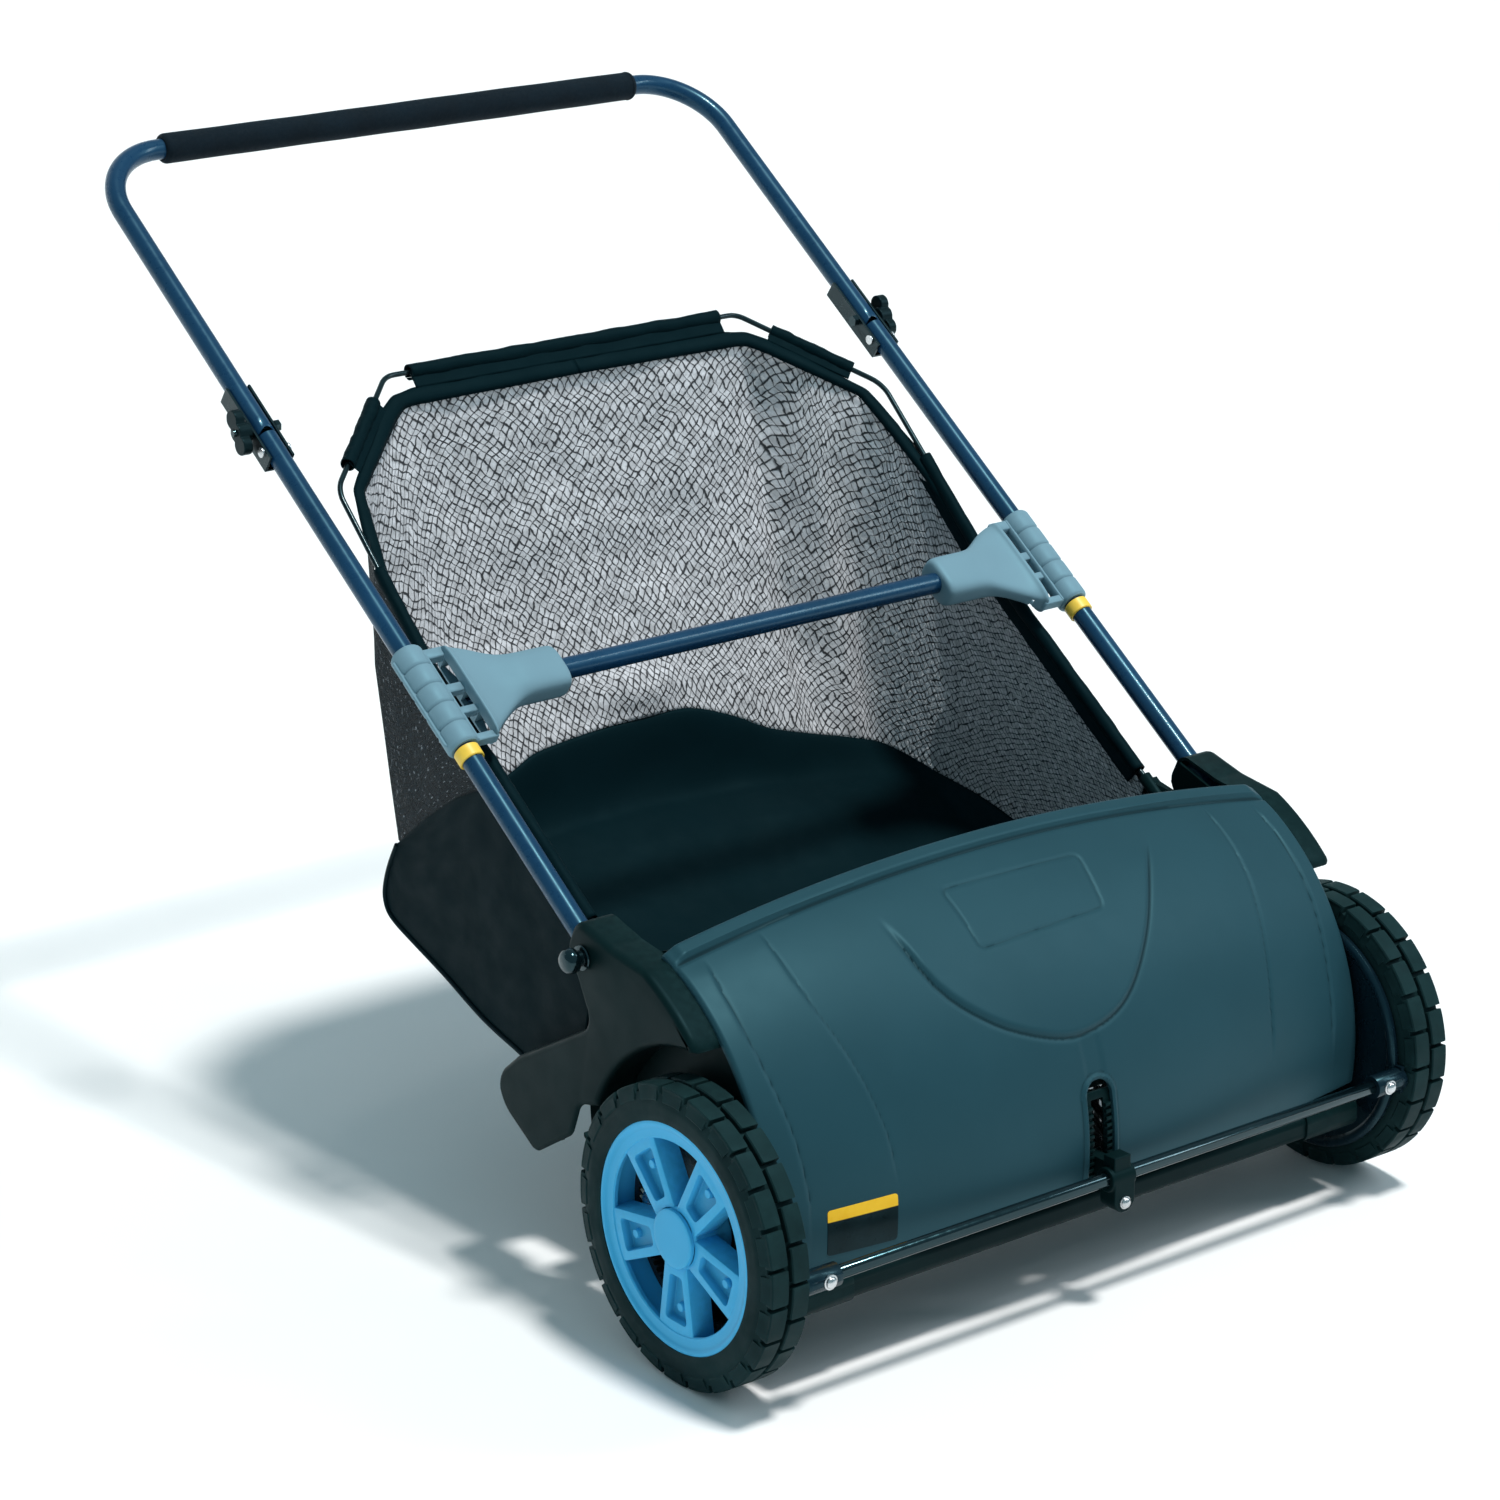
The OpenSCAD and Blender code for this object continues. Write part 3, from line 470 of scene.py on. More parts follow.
def painted(name, colour, rough, **shader):
    """Lacquered tube: orange peel under a clear coat, with fine rubs along it."""
    f = Finish(name, **shader)
    body = f.blotched(colour, 0.85, 1.2, 9, 3, 0.3, 0.7)
    rubs = f.sum("MULTIPLY", f.span(f.noise(70, 6, (1, 7, 7)), 0.68, 0.74), 0.08)
    f.set("Base Color", f.mix(rubs, body, tuple(3 * c + 0.02 for c in colour)))
    f.set("Roughness", f.cloud(120, 4, a=rough - 0.05, b=rough + 0.07))
    f.relief((f.noise(330, 2), 0.003))
    return f.material


def rubber(name, colour, rough):
    """Tyre rubber: dull, with grey dust lying in the low places."""
    f = Finish(name, Specular_IOR_Level=0.14, Specular_Tint=(0.35, 0.85, 1, 1))
    body = f.blotched(colour, 0.8, 1.3, 18, 5, 0.35, 0.7)
    low = f.span(f.node("ShaderNodeNewGeometry").outputs["Pointiness"], 0.49, 0.42)
    body = f.mix(f.sum("MULTIPLY", low, 0.25), body, tuple(c + 0.008 for c in colour))
    f.set("Base Color", f.mix(f.edges(0.54, 0.66), body, tone(colour, 2.2)))
    f.set("Roughness", f.cloud(70, 5, a=rough - 0.1, b=rough + 0.1))
    f.relief((f.noise(30, 3), 0.1), (f.noise(900, 3), 0.05))
    return f.material


def foam(name, colour):
    """Closed-cell foam: a skin of small pores over a soft, uneven surface."""
    f = Finish(name, Specular_IOR_Level=0.12, Sheen_Weight=0.03, Sheen_Roughness=0.5)
    pores = f.span(f.cells(900), 0.05, 0.5)
    body = f.blotched(colour, 0.85, 1.2, 25, 4, 0.35, 0.65)
    f.set("Base Color", f.mix(pores, tone(colour, 0.55), body))
    f.set("Roughness", f.cloud(300, 3, a=0.74, b=0.92))
    f.relief((f.noise(24, 3), 0.35), (pores, 0.12))
    return f.material


def weave(f, pitch, slack):
    """Height of a plain weave with that pitch in millimetres, over the cloth's flat metres."""
    turns = 2 * math.pi * 1000 / pitch
    push = f.cloud(160, 2, 0.3, 0.7, -slack, slack)
    across = f.sum("SINE", f.sum("ADD", f.sum("MULTIPLY", f.axis("X"), turns), push))
    along = f.sum("SINE", f.sum("SUBTRACT", f.sum("MULTIPLY", f.axis("Y"), turns), push))
    return f.span(f.sum("MULTIPLY", across, along), -1, 1)


def woven(name, colour, rough=0.6, pitch=1.4, **shader):
    """Coated cloth: plain weave, creases and a clouded colour."""
    f = Finish(name, cloth=True, **shader)
    height = weave(f, pitch, 0.6)
    body = f.blotched(colour, 0.85, 1.2, 14, 5, 0.35, 0.68)
    f.set("Base Color", f.mix(f.sum("MULTIPLY", height, 0.5), tone(colour, 0.6), body))
    f.set("Roughness", f.cloud(40, 4, a=rough - 0.07, b=rough + 0.07))
    f.relief((f.noise(22, 4), 0.45), (height, 0.1))
    return f.material


def netting(name, tile, thread, cell, gap, closed, painted_light_specks=None):
    """Net of two families of slanting dark threads, part filled between them by fine yarn."""
    f = Finish(name, cloth=True, Specular_IOR_Level=0.3, Roughness=0.7)
    x, y = f.axis("X"), f.axis("Y")
    drift = f.cloud(42, 4, 0.3, 0.7, -1.5, 1.5)
    width = f.cloud(120, 3, 0.35, 0.65, 0.06, 0.4)
    turns = math.pi * 1000 / cell
    open_to = []
    for slope, sway in ((0.9, 1), (-0.9, -0.8)):
        run = f.sum("ADD", f.sum("MULTIPLY", x, turns), f.sum("MULTIPLY", y, slope * turns))
        wave = f.sum("ABSOLUTE", f.sum("SINE", f.sum("ADD", run, f.sum("MULTIPLY", drift, sway))))
        open_to.append(f.span(f.sum("SUBTRACT", wave, width), -0.12, 0.22))
    hole = f.sum("MULTIPLY", *open_to)
    yarn = f.blotched(tile, 0.75, 1.25, 90, 5, 0.35, 0.7)
    # Painted light: pale specks in the yarn stand for light seen through the net
    if painted_light_specks:
        yarn = f.mix(f.cloud(230, 3, 0.62, 0.7), yarn, painted_light_specks)
    f.set("Base Color", f.mix(hole, thread, yarn))
    filled = f.cloud(260, 3, 0.3, 0.7, gap - 0.2, gap + 0.2)
    f.set("Alpha", f.sum("MAXIMUM", filled, f.span(hole, 0.25, 0.6, closed, 0)))
    f.relief((f.noise(20, 3), 1.0), (hole, -0.4))
    return f.material


BLACK = (0.0016, 0.009, 0.0095)
STEEL = (0.62, 0.63, 0.64)
COOL = {"Specular_Tint": (0.35, 0.85, 1, 1)}
LOOKS = {
    # The cover has the strongest painted shade in its grooves
    "cover_plastic": moulded("cover_plastic", (0.013, 0.046, 0.061), 0.47, spread=0.04, depth=0.01, wave=0.015,
                             worn=1.25, vary=0.02, groove_shade=0.75, Specular_IOR_Level=0.26, **COOL),
    "black_plastic": moulded("black_plastic", BLACK, 0.48, worn=2, Specular_IOR_Level=0.1, **COOL),
    "label_yellow": moulded("label_yellow", (0.871, 0.578, 0.045), 0.3, spread=0.05, depth=0.004, worn=0.9),
    "steel": metal("steel", STEEL, 0.26),
    "bush_plastic": moulded("bush_plastic", (0.55, 0.5, 0.38), 0.5, worn=1.2),
    "tube_paint": painted("tube_paint", (0.005, 0.031, 0.078), 0.29, Specular_IOR_Level=0.4, Coat_Weight=0.15,
                          Coat_Roughness=0.06, **COOL),
    "black_metal": painted("black_metal", (0.002, 0.0048, 0.006), 0.3, Specular_IOR_Level=0.3, Coat_Weight=0.25,
                           Coat_Roughness=0.12, **COOL),
    "clamp_plastic": moulded("clamp_plastic", (0.16, 0.27, 0.33), 0.5, spread=0.05, worn=1.15,
                             Specular_IOR_Level=0.25, **COOL),
    "stop_yellow": moulded("stop_yellow", (0.86, 0.56, 0.06), 0.4, spread=0.08, worn=1.1),
    "foam": foam("foam", (0.0022, 0.0085, 0.0145)),
    "knob_plastic": moulded("knob_plastic", (0.002, 0.0055, 0.0065), 0.38, worn=2.2, Specular_IOR_Level=0.18, **COOL),
    "carrier_plastic": moulded("carrier_plastic", (0.0025, 0.009, 0.015), 0.28, worn=2, Specular_IOR_Level=0.35,
                               **COOL),
    "tyre_rubber": rubber("tyre_rubber", (0.0055, 0.0165, 0.0172), 0.64),
    "hub_blue": moulded("hub_blue", (0.055, 0.41, 0.72), 0.38, spread=0.05, worn=1.2, Specular_IOR_Level=0.3, **COOL),
    "gear_plastic": moulded("gear_plastic", (0.008, 0.011, 0.012), 0.5, worn=2),
    "bristle": moulded("bristle", (0.005, 0.008, 0.009), 0.5, grain=3000, worn=2.4, Sheen_Weight=0.1),
    "solid_fabric": woven("solid_fabric", (0.0012, 0.0105, 0.0145), 0.6, Specular_IOR_Level=0.07, **COOL),
    "mesh_fabric": netting("mesh_fabric", (0.64, 0.64, 0.67), (0.03, 0.032, 0.036), 8.6, 0.8, 1.0),
    # The outer net's pale specks are painted light seen through it
    "outer_net": netting("outer_net", (0.006, 0.014, 0.02), (0.0015, 0.003, 0.004), 5.0, 0.93, 1.0,
                         (0.34, 0.38, 0.42)),
    "piping": woven("piping", (0.0015, 0.006, 0.009), 0.5, pitch=2.0, Specular_IOR_Level=0.15, **COOL),
}
RAIL_GLOSS = painted("rail_gloss", (0.0015, 0.0045, 0.006), 0.15, Coat_Weight=0.3, Coat_Roughness=0.05, **COOL)


def cut(o, shape, sharp):
    """Takes shape away from a finished piece."""
    soup = bmesh.new()
    soup.from_mesh(mesh_of(shape, "cutter"))
    bmesh.ops.recalc_face_normals(soup, faces=soup.faces)
    tool = new_object("cutter", soup_mesh("cutter", soup))
    m = o.modifiers.new("cut", "BOOLEAN")
    m.object, m.operation, m.solver = tool, "DIFFERENCE", "EXACT"
    bpy.context.view_layer.update()
    final = evaluated(o)
    o.modifiers.clear()
    o.data = final
    bpy.data.objects.remove(tool)
    shade(o, sharp)


def dress(slot, *nodes, bevel, look=None):
    """A CAD node that stays: its finish, and a small radius on its edges."""
    for name in nodes:
        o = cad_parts[name]
        o.data.materials.clear()
        o.data.materials.append(look or LOOKS[slot])
        m = o.modifiers.new("join", "WELD")
        m.merge_threshold = 1e-6
        round_edges(o, bevel, 2, 35)


# Front cover -----------------------------------------------

DRUM_Y, DRUM_Z, END_R, CROWN, HALF_W = 157, 129, 222, 27, 327.5
MM_PER_DEG = math.radians(1) * (END_R + CROWN)


def barrel_r(x):
    """The cover's radius, which is largest in the middle."""
    return END_R + CROWN * (1 - (x / HALF_W) ** 2)


def on_barrel(x, degrees, out):
    """Points on the cover at x and at an angle over its front, moved out from it."""
    r = barrel_r(x) + out
    a = np.radians(degrees)
    return np.stack([x + 0 * a, DRUM_Y - r * np.cos(a), DRUM_Z + r * np.sin(a)], -1)


def line_distance(x, t, points, closed=False):
    """Distance from each (x, t) to a line, and the share of the line's length where it is nearest."""
    best, where = np.full(x.shape, 1e9), np.zeros(x.shape)
    p = np.asarray(points, float) * [1, MM_PER_DEG]
    if closed:
        p = np.vstack([p, p[:1]])
    run = run_along(p)
    for i, (a, b) in enumerate(zip(p[:-1], p[1:])):
        d = b - a
        s = np.clip(((x - a[0]) * d[0] + (t - a[1]) * d[1]) / (d @ d), 0, 1)
        away = np.hypot(x - a[0] - s * d[0], t - a[1] - s * d[1])
        near = away < best
        best = np.where(near, away, best)
        where = np.where(near, (run[i] + s * (run[i + 1] - run[i])) / run[-1], where)
    return best, where


def inside(x, t, points):
    p = np.asarray(points, float) * [1, MM_PER_DEG]
    hit = np.zeros(x.shape, bool)
    for (x0, t0), (x1, t1) in zip(p, np.roll(p, -1, 0)):
        crosses = (t0 > t) != (t1 > t)
        hit ^= crosses & (x < (x1 - x0) * (t - t0) / (t1 - t0 + 1e-12) + x0)
    return hit


U_GROOVE = [(-143, 59.4), (-128, 42), (-91, 32), (-41, 26), (0, 24.6), (49, 28.2), (96, 38.9), (139, 53), (162, 61)]
PANEL = [(-74, 60.3), (78, 59.6), (69, 46.4), (-72, 45.1)]
OUTER_RIB = [(302, 64), (306, 54.7), (307, 44.4), (304, 35.3), (300, 27.5), (296, 20), (292, 8)]
INNER_RIB = [(246, 66), (245, 52.3), (241, 44.2), (233, 36.5), (224, 28.1), (214, 17), (208, 4)]
SLOT_TOP, SLOT_HALF = 15.0, 14


def cover_relief(x, degrees, top, low):
    """Radial height of the moulded features at each point of the cover."""
    t = degrees * MM_PER_DEG
    out = np.zeros(x.shape)
    # Lip along the top, with a narrow groove in front of it
    lip = (top - degrees) * np.radians(1) * barrel_r(x)
    edge = smooth_step(HALF_W - np.abs(x), 2, 13)
    out += 4 * (1 - smooth_step(lip, 13, 15.5)) * edge - 1.4 * bell(lip, 17.5, 1.6)
    # Long curved step: its inside stands out a little, with a narrow groove at its foot
    groove = spline(U_GROOVE, 40)
    away, along = line_distance(x, t, groove)
    fade = smooth_step(along, 0, 0.12) * smooth_step(1 - along, 0, 0.12)
    signed = np.where(inside(x, t, [(-143, 90), *groove, (162, 90)]), away, -away)
    rise = smooth_step(signed, -3.4, 3.8) * np.exp(-np.maximum(signed, 0) / 34)
    out += fade * (2.4 * rise - 1.5 * bell(signed, -2.2, 2.3))
    # Recessed panel with rounded corners
    corner = rounded([(a, b * MM_PER_DEG) for a, b in PANEL], 7)
    corner = [(a, b / MM_PER_DEG) for a, b in corner]
    away, _ = line_distance(x, t, corner, closed=True)
    signed = np.where(inside(x, t, corner), -away, away)
    out -= 0.5 * (1 - smooth_step(signed, -3.2, 0.6)) + 0.9 * bell(signed, -1.2, 1.5)
    # Ribs towards the ends
    for side in (-1, 1):
        for line, height, reach in ((OUTER_RIB, 1.6, 22), (INNER_RIB, 1.1, 30)):
            line = [(side * a, b) for a, b in line]
            away, along = line_distance(x, t, line)
            centre = np.interp(degrees, [q[1] for q in line[::-1]], [abs(q[0]) for q in line[::-1]])
            outer = side * x > centre
            fade = smooth_step(along, 0, 0.1) * (smooth_step(1 - along, 0, 0.15) if line[0][0] ** 2 < 280 ** 2 else 1)
            out += fade * height * np.where(outer, np.exp(-away / reach) - np.exp(-away / 1.4), 0)
            out -= fade * 0.5 * bell(away, 0, 1.3)
    # Shallow channel down to the slot, and the slot's raised rim
    down = smooth_step(25 - degrees, 0, 3) * smooth_step(degrees - SLOT_TOP, -6, 1)
    out -= 0.9 * down * (1 - smooth_step(np.abs(x), 7, 13))
    rise = np.maximum(t - (SLOT_TOP * MM_PER_DEG - SLOT_HALF), 0)
    rim = np.hypot(x, rise) - SLOT_HALF
    out += 2.2 * np.exp(-((rim - 2.2) / 2.1) ** 4)
    # Rounded edges
    out -= 2.4 * np.maximum(1 - (HALF_W - np.abs(x)) / 3.2, 0) ** 2
    foot = (degrees - low) * MM_PER_DEG
    return out - 1.2 * np.maximum(1 - foot / 2, 0) ** 2 - 1.5 * np.maximum(1 - lip / 2, 0) ** 2


def make_cover():
    top_y, low_z, wall = 76, 98, 3
    xs = np.concatenate([[-HALF_W, -HALF_W + 0.5, -HALF_W + 1.2, -HALF_W + 2.2], np.linspace(-324, 324, 365),
                         [HALF_W - 2.2, HALF_W - 1.2, HALF_W - 0.5, HALF_W]])
    top = np.degrees(np.arccos((DRUM_Y - top_y) / barrel_r(xs)))
    low = np.degrees(np.arcsin((low_z - DRUM_Z) / barrel_r(xs)))
    share = np.concatenate([[0, 0.0015, 0.004, 0.008], np.linspace(0.012, 0.985, 186), [0.99, 0.995, 0.998, 1]])
    degrees = low + (top - low) * share[:, None]
    x = np.broadcast_to(xs, degrees.shape)
    out = cover_relief(x, degrees, top, low)
    outer, inner = on_barrel(x, degrees, out), on_barrel(x, degrees, np.minimum(out, 0.3) - wall)
    s = Shape()
    n, m = degrees.shape
    s.grid(list(outer) + list(inner[::-1]), along=True)
    s.f += [(i * m + k, (i + 1) * m + k, (2 * n - 2 - i) * m + k, (2 * n - 1 - i) * m + k)
            for i in range(n - 1) for k in (0, m - 1)]
    cover = piece("cover", s, "cover_plastic", "housing", "front_cover", sharp=50)
    top_z = DRUM_Z + barrel_r(0) * math.sin(math.radians(SLOT_TOP))
    hole = [(-SLOT_HALF, 60), (SLOT_HALF, 60)] + arc(0, top_z - SLOT_HALF, SLOT_HALF, 0, 180, 15)
    cut(cover, Shape().prism(hole, -130, -40, "y"), 40)
    ends = Shape().both(lambda q: q.prism(
        [(DRUM_Y - r * math.cos(a), DRUM_Z + r * math.sin(a)) for r, order in ((211.2, 1), (219.3, -1))
         for a in np.radians(np.linspace(-5, 67, 60))[::order]], 310, 315.8))
    piece("cover_end_flanges", ends, "cover_plastic", "housing", "front_cover", bevel=0.5)


make_cover()


def make_label():
    """Sticker with rounded corners, laid on the cover."""
    middle, flat_x, flat_d, radius = -244, 30, 4.2, 3
    x, d = np.meshgrid(np.linspace(middle - 33, middle + 33, 40), np.linspace(-4.9, 4.9, 24))
    over_x, over_d = np.abs(x - middle) - flat_x, np.abs(d) - flat_d
    corner = np.hypot(np.maximum(over_x, 0), np.maximum(over_d, 0) * MM_PER_DEG)
    pull = radius / np.maximum(corner, radius)
    x = np.where(pull < 1, middle + np.sign(x - middle) * (flat_x + over_x * pull), x)
    d = np.where(pull < 1, np.sign(d) * (flat_d + over_d * pull), d)
    s = Shape()
    front, back = on_barrel(x, d, 0.45), on_barrel(x, d, -0.2)
    s.grid(list(front)).grid(list(back))
    n, m = x.shape
    loop = [k for k in range(m)] + [i * m + m - 1 for i in range(1, n)] + \
        [(n - 1) * m + k for k in range(m - 2, -1, -1)] + [i * m for i in range(n - 2, 0, -1)]
    s.f += [(a, b, b + n * m, a + n * m) for a, b in zip(loop, loop[1:] + loop[:1])]
    piece("sticker", s, "label_yellow", "housing", "label_plate", look=sticker_look())


def sticker_look():
    """A plain printed sticker: a yellow band over a black field."""
    f = Finish("sticker", Specular_IOR_Level=0.12, Coat_Weight=0.06, Coat_Roughness=0.2, **COOL)
    field = f.span(f.axis("Z"), 0.1384, 0.139, 1, 0)
    yellow = f.mix(f.cloud(30, 4, 0.3, 0.7), (0.85, 0.45, 0.015), (0.95, 0.56, 0.03))
    black = f.mix(f.cloud(60, 4, 0.3, 0.7), (0.003, 0.008, 0.0095), (0.006, 0.015, 0.018))
    f.set("Base Color", f.mix(field, yellow, black))
    f.set("Roughness", f.cloud(90, 4, a=0.24, b=0.38))
    f.relief((f.noise(80, 3), 0.05))
    return f.material


make_label()
dress("black_plastic", "slot_rack", "bag_sockets", bevel=0.4)
dress("black_plastic", "end_plate_left", "end_plate_right", "lower_rail", "rear_chute", bevel=0.8)
dress("steel", "housing_screws", "stub_axle_left", "stub_axle_right", "axle_nuts", "drive_keys", "shaft_clips",
      "bracket_rivets", "brush_shaft", bevel=0.5)
dress("bush_plastic", "brush_bushes", "wheel_bush_left", "wheel_bush_right", "pinion_left", "pinion_right",
      bevel=0.3)
dress("gear_plastic", "ring_gear_left", "ring_gear_right", bevel=0.2)
dress("black_plastic", "brush_core", bevel=1)
dress("tube_paint", "front_rod", bevel=0.4, look=RAIL_GLOSS)
dress("carrier_plastic", "carrier_left", "carrier_right", bevel=0.8)
dress("steel", "fold_bolts", bevel=0.5, look=RAIL_GLOSS)
dress("black_metal", "fold_bracket_left", "fold_bracket_right", bevel=0.6)

# Side covers -----------------------------------------------


def make_side_covers():
    front = [(DRUM_Y - 218.4 * math.cos(math.radians(a)), DRUM_Z + 218.4 * math.sin(math.radians(a)))
             for a in np.linspace(66, 45.5, 9)]
    wheel = arc(1, 135, 143, 89.5, 22.2, 30)
    outline = front + rounded([front[-1], (2.2, 280), wheel[0]], [0, 4, 0], False)[1:-1] + wheel
    corners = [(156, 182), (168, 151), (222, 116), (271, 146), (277, 171), (248, 196), (140, 258), (160, 296),
               (173, 318), (160, 346), (114, 334)]
    radii = [10, 16, 10, 30, 20, 24, 14, 40, 13, 12, 30]
    body = rounded([wheel[-1], *corners, front[0]], [0, *radii, 0], False)[1:-1]
    outline = ccw([np.asarray(p, float) for p in outline + body])
    levels = [(351.4, 6.5), (350, 4.2), (346, 3), (319.4, 3), (319.4, 0), (347, 0)]
    levels += [(347 + 7 * math.sin(t), 5.5 * (1 - math.cos(t))) for t in np.linspace(0.2, math.pi / 2, 6)]
    for side, name in SIDES:
        s = Shape(flipped if side < 0 else None).stack(outline, levels, ends=True)
        o = piece(f"side_cover_{name}_shell", s, "black_plastic", "housing", f"side_cover_{name}", sharp=40)
        low, high = sorted((side * 316, side * 351.2))
        cut(o, Shape().box((low, 147, 108), (high, 226, 187)), 40)


make_side_covers()

# Lower handle and joints -----------------------------------


def tube_wall(low, high):
    """Profile of an open tube with slightly rounded rims."""
    out, inner, soft = TUBE_R, TUBE_R - TUBE_WALL, 0.35
    return [(low, out - soft), (low + soft, out), (high - soft, out), (high, out - soft), (high, inner + soft),
            (high - soft, inner), (low + soft, inner), (low, inner + soft)]


rings = Shape(handle)
for side, name in SIDES:
    tube = Shape(handle).lathe(tube_wall(195, 812.5), side * TUBE_X, 0, "z", 48, loop=True)
    piece(f"side_tube_{name}", tube, "tube_paint", "housing", f"lower_tube_{name}")
    rings.lathe([(RING_S, 9.6), (RING_S, 10.8), (RING_S + 0.7, 11.5), (RING_S + 11.3, 11.5), (RING_S + 12, 10.8),
                 (RING_S + 12, 9.6)], side * TUBE_X, 0, "z", 48, loop=True)
piece("cross_tube", Shape(handle).lathe([(-306, 8.6), (-305.6, 9.5), (305.6, 9.5), (306, 8.6), (306, 8.3),
                                         (-306, 8.3)], 0, CROSSBAR_S, n=48, loop=True),
      "tube_paint", "housing", "crossbar")
piece("marker_rings", rings, "stop_yellow", "housing", "stop_rings")
for _, name in SIDES:
    softened(f"knob_{name}", [f"wing_knob_{name}"], 0.6, 5, "knob_plastic", f"knob_{name}")
softened("adjuster_clip", ["adjuster_bracket"], 0.6, 4, "black_plastic", "axle_carrier")


def make_clamp(side, name):
    """Ribbed sleeve on the tube, open strip of windows, and a flared web with a socket for the crossbar."""
    body = f"clamp_{name}"
    s = Shape((lambda p: handle(flipped(p))) if side < 0 else handle)
    rows = [(CLAMP_S - 1, 9.6), (CLAMP_S - 1, 12.6), (CLAMP_S, 13.6)]
    for k in range(5):
        low = CLAMP_S + 21 * k
        rows += [(low + 0.6, 14.1), (low + 2, 14.6), (low + 17.5, 14.6), (low + 19, 14.2), (low + 19.6, 13.2),
                 (low + 20.4, 13.2)]
    rows += [(558, 12.6), (558, 9.6)]
    s.lathe(rows, TUBE_X, 0, "z", 56, loop=True)
    piece(body + "_sleeve", s, "clamp_plastic", "housing", body, sharp=32)
    # Outer flange and parting ridge of the sleeve, and the frame of the windows
    s = Shape(s.at)
    flange = [(TUBE_X + 12.5, 457), (TUBE_X + 16.6, 459), (TUBE_X + 16.6, 551), (TUBE_X + 12.5, 553)]
    s.prism(rounded(flange, 1.5), -1.6, 1.6, "y", 0.5, 1)
    for low, high, level in ((453.5, 461, 5.5), (484, 491.5, 4.2), (508, 516.5, 4.2), (545, 555, 5.5)):
        bar = [(306, low), (TUBE_X - 11.6, low), (TUBE_X - 11.6, high), (306, high)]
        s.prism(rounded(bar, 1.5), -4.6, level, "y", 0.9, 1)
    rail = [(TUBE_X - 15.6, 454), (TUBE_X - 12, 454), (TUBE_X - 12, 555), (TUBE_X - 15.6, 555)]
    s.prism(rounded(rail, 1.2), -5.2, 6, "y", 0.9, 1)
    piece(body + "_windows", s, "clamp_plastic", "housing", body, sharp=45)
    # Flared web, from the thick rim down to the socket. Each section is a rounded box at one x: its ends up the
    # tube, its ends above it, and the power that squares its corners
    sections = [(310.2, 455.6, 552.4, -12.4, 12.4, 5), (309.4, 454.4, 553.6, -13.4, 13.6, 5),
                (307.6, 454.4, 553.6, -13.4, 13.6, 5), (306.2, 455.8, 552.8, -12.6, 12.8, 5),
                (305, 457.4, 552.4, -11.2, 11.8, 4.5), (302, 459.2, 552.4, -10.4, 10.8, 4),
                (298, 463.5, 551, -9.8, 10, 4), (289, 469.5, 548, -9.6, 9.6, 3.6),
                (280, 475.5, 542.5, -9.9, 9.9, 3.2), (272, 480, 537.6, -11, 11, 3),
                (265, 482.8, 534, -12.8, 12.6, 3), (259, 484.3, 531.8, -14.4, 14.2, 3.2),
                (252, 484.9, 530.6, -15.2, 15, 3.4), (240, 485, 530.4, -15.4, 15.2, 3.4),
                (222, 485, 530.4, -15.4, 15.2, 3.4), (215, 485.3, 530.1, -15.2, 15, 3.4),
                (212.3, 486.8, 528.6, -13.8, 13.6, 3.2), (211.3, 489.5, 526, -11.6, 11.4, 3),
                (211, 496, 519.5, -9.6, 9.6, 2.2)]
    rows = []
    for x, s0, s1, n0, n1, power in sections:
        ring = []
        for t in [2 * math.pi * k / 72 for k in range(72)]:
            c, d = math.cos(t), math.sin(t)
            a = math.copysign(abs(c) ** (2 / power), c) * (s1 - s0) / 2 + (s0 + s1) / 2
            b = math.copysign(abs(d) ** (2 / power), d) * (n1 - n0) / 2 + (n0 + n1) / 2
            ring.append((x, b, a))
        rows.append(ring)
    s = Shape(s.at).grid(rows, around=True, ends=True)
    web = piece(body + "_web", s, "clamp_plastic", "housing", body, sharp=50, sub=1)
    for low, high in ((462.5, 482.5), (493, 506.5), (518, 543.5)):
        cut(web, Shape(s.at).box((297, -10, low), (320, 2.6, high)), 50)


for side, name in SIDES:
    make_clamp(side, name)


def domed(reach, r, flange, lip):
    """Profile of a domed screw head that stands reach out of a face at 0."""
    dome = [(lip + (reach - lip) * math.sin(t), r * math.cos(t)) for t in np.linspace(0, math.pi / 2 - 0.05, 9)]
    return [(-0.5, 0.3), (-0.5, r + flange), (lip * 0.7, r + flange), (lip, r + flange - 0.4), *dome, (reach, 0.01)]


bolts = Shape()
_, bolt_y, bolt_z = FOOT + BOLT_S * UP
bolts.both(lambda q: q.lathe([(354, 0.3), (354, 10), (355.5, 11), (356.6, 10.4), (357, 7), (361, 6.6), (361.6, 9),
                              (363, 10.4), (366, 10.9), (369, 10.6), (371.5, 9.4), (373.2, 7.2), (374, 4),
                              (374.2, 0.01)], bolt_y, bolt_z, n=40))
bolts.both(lambda q: q.lathe([(322, 0.3), (322, 7), (328.6, 7), (329, 6.4), (329, 4), (354, 4), (354, 0.3)],
                             bolt_y, bolt_z, n=6))
piece("tube_bolt_domes", bolts, "black_metal", "housing", "tube_bolts", look=RAIL_GLOSS)

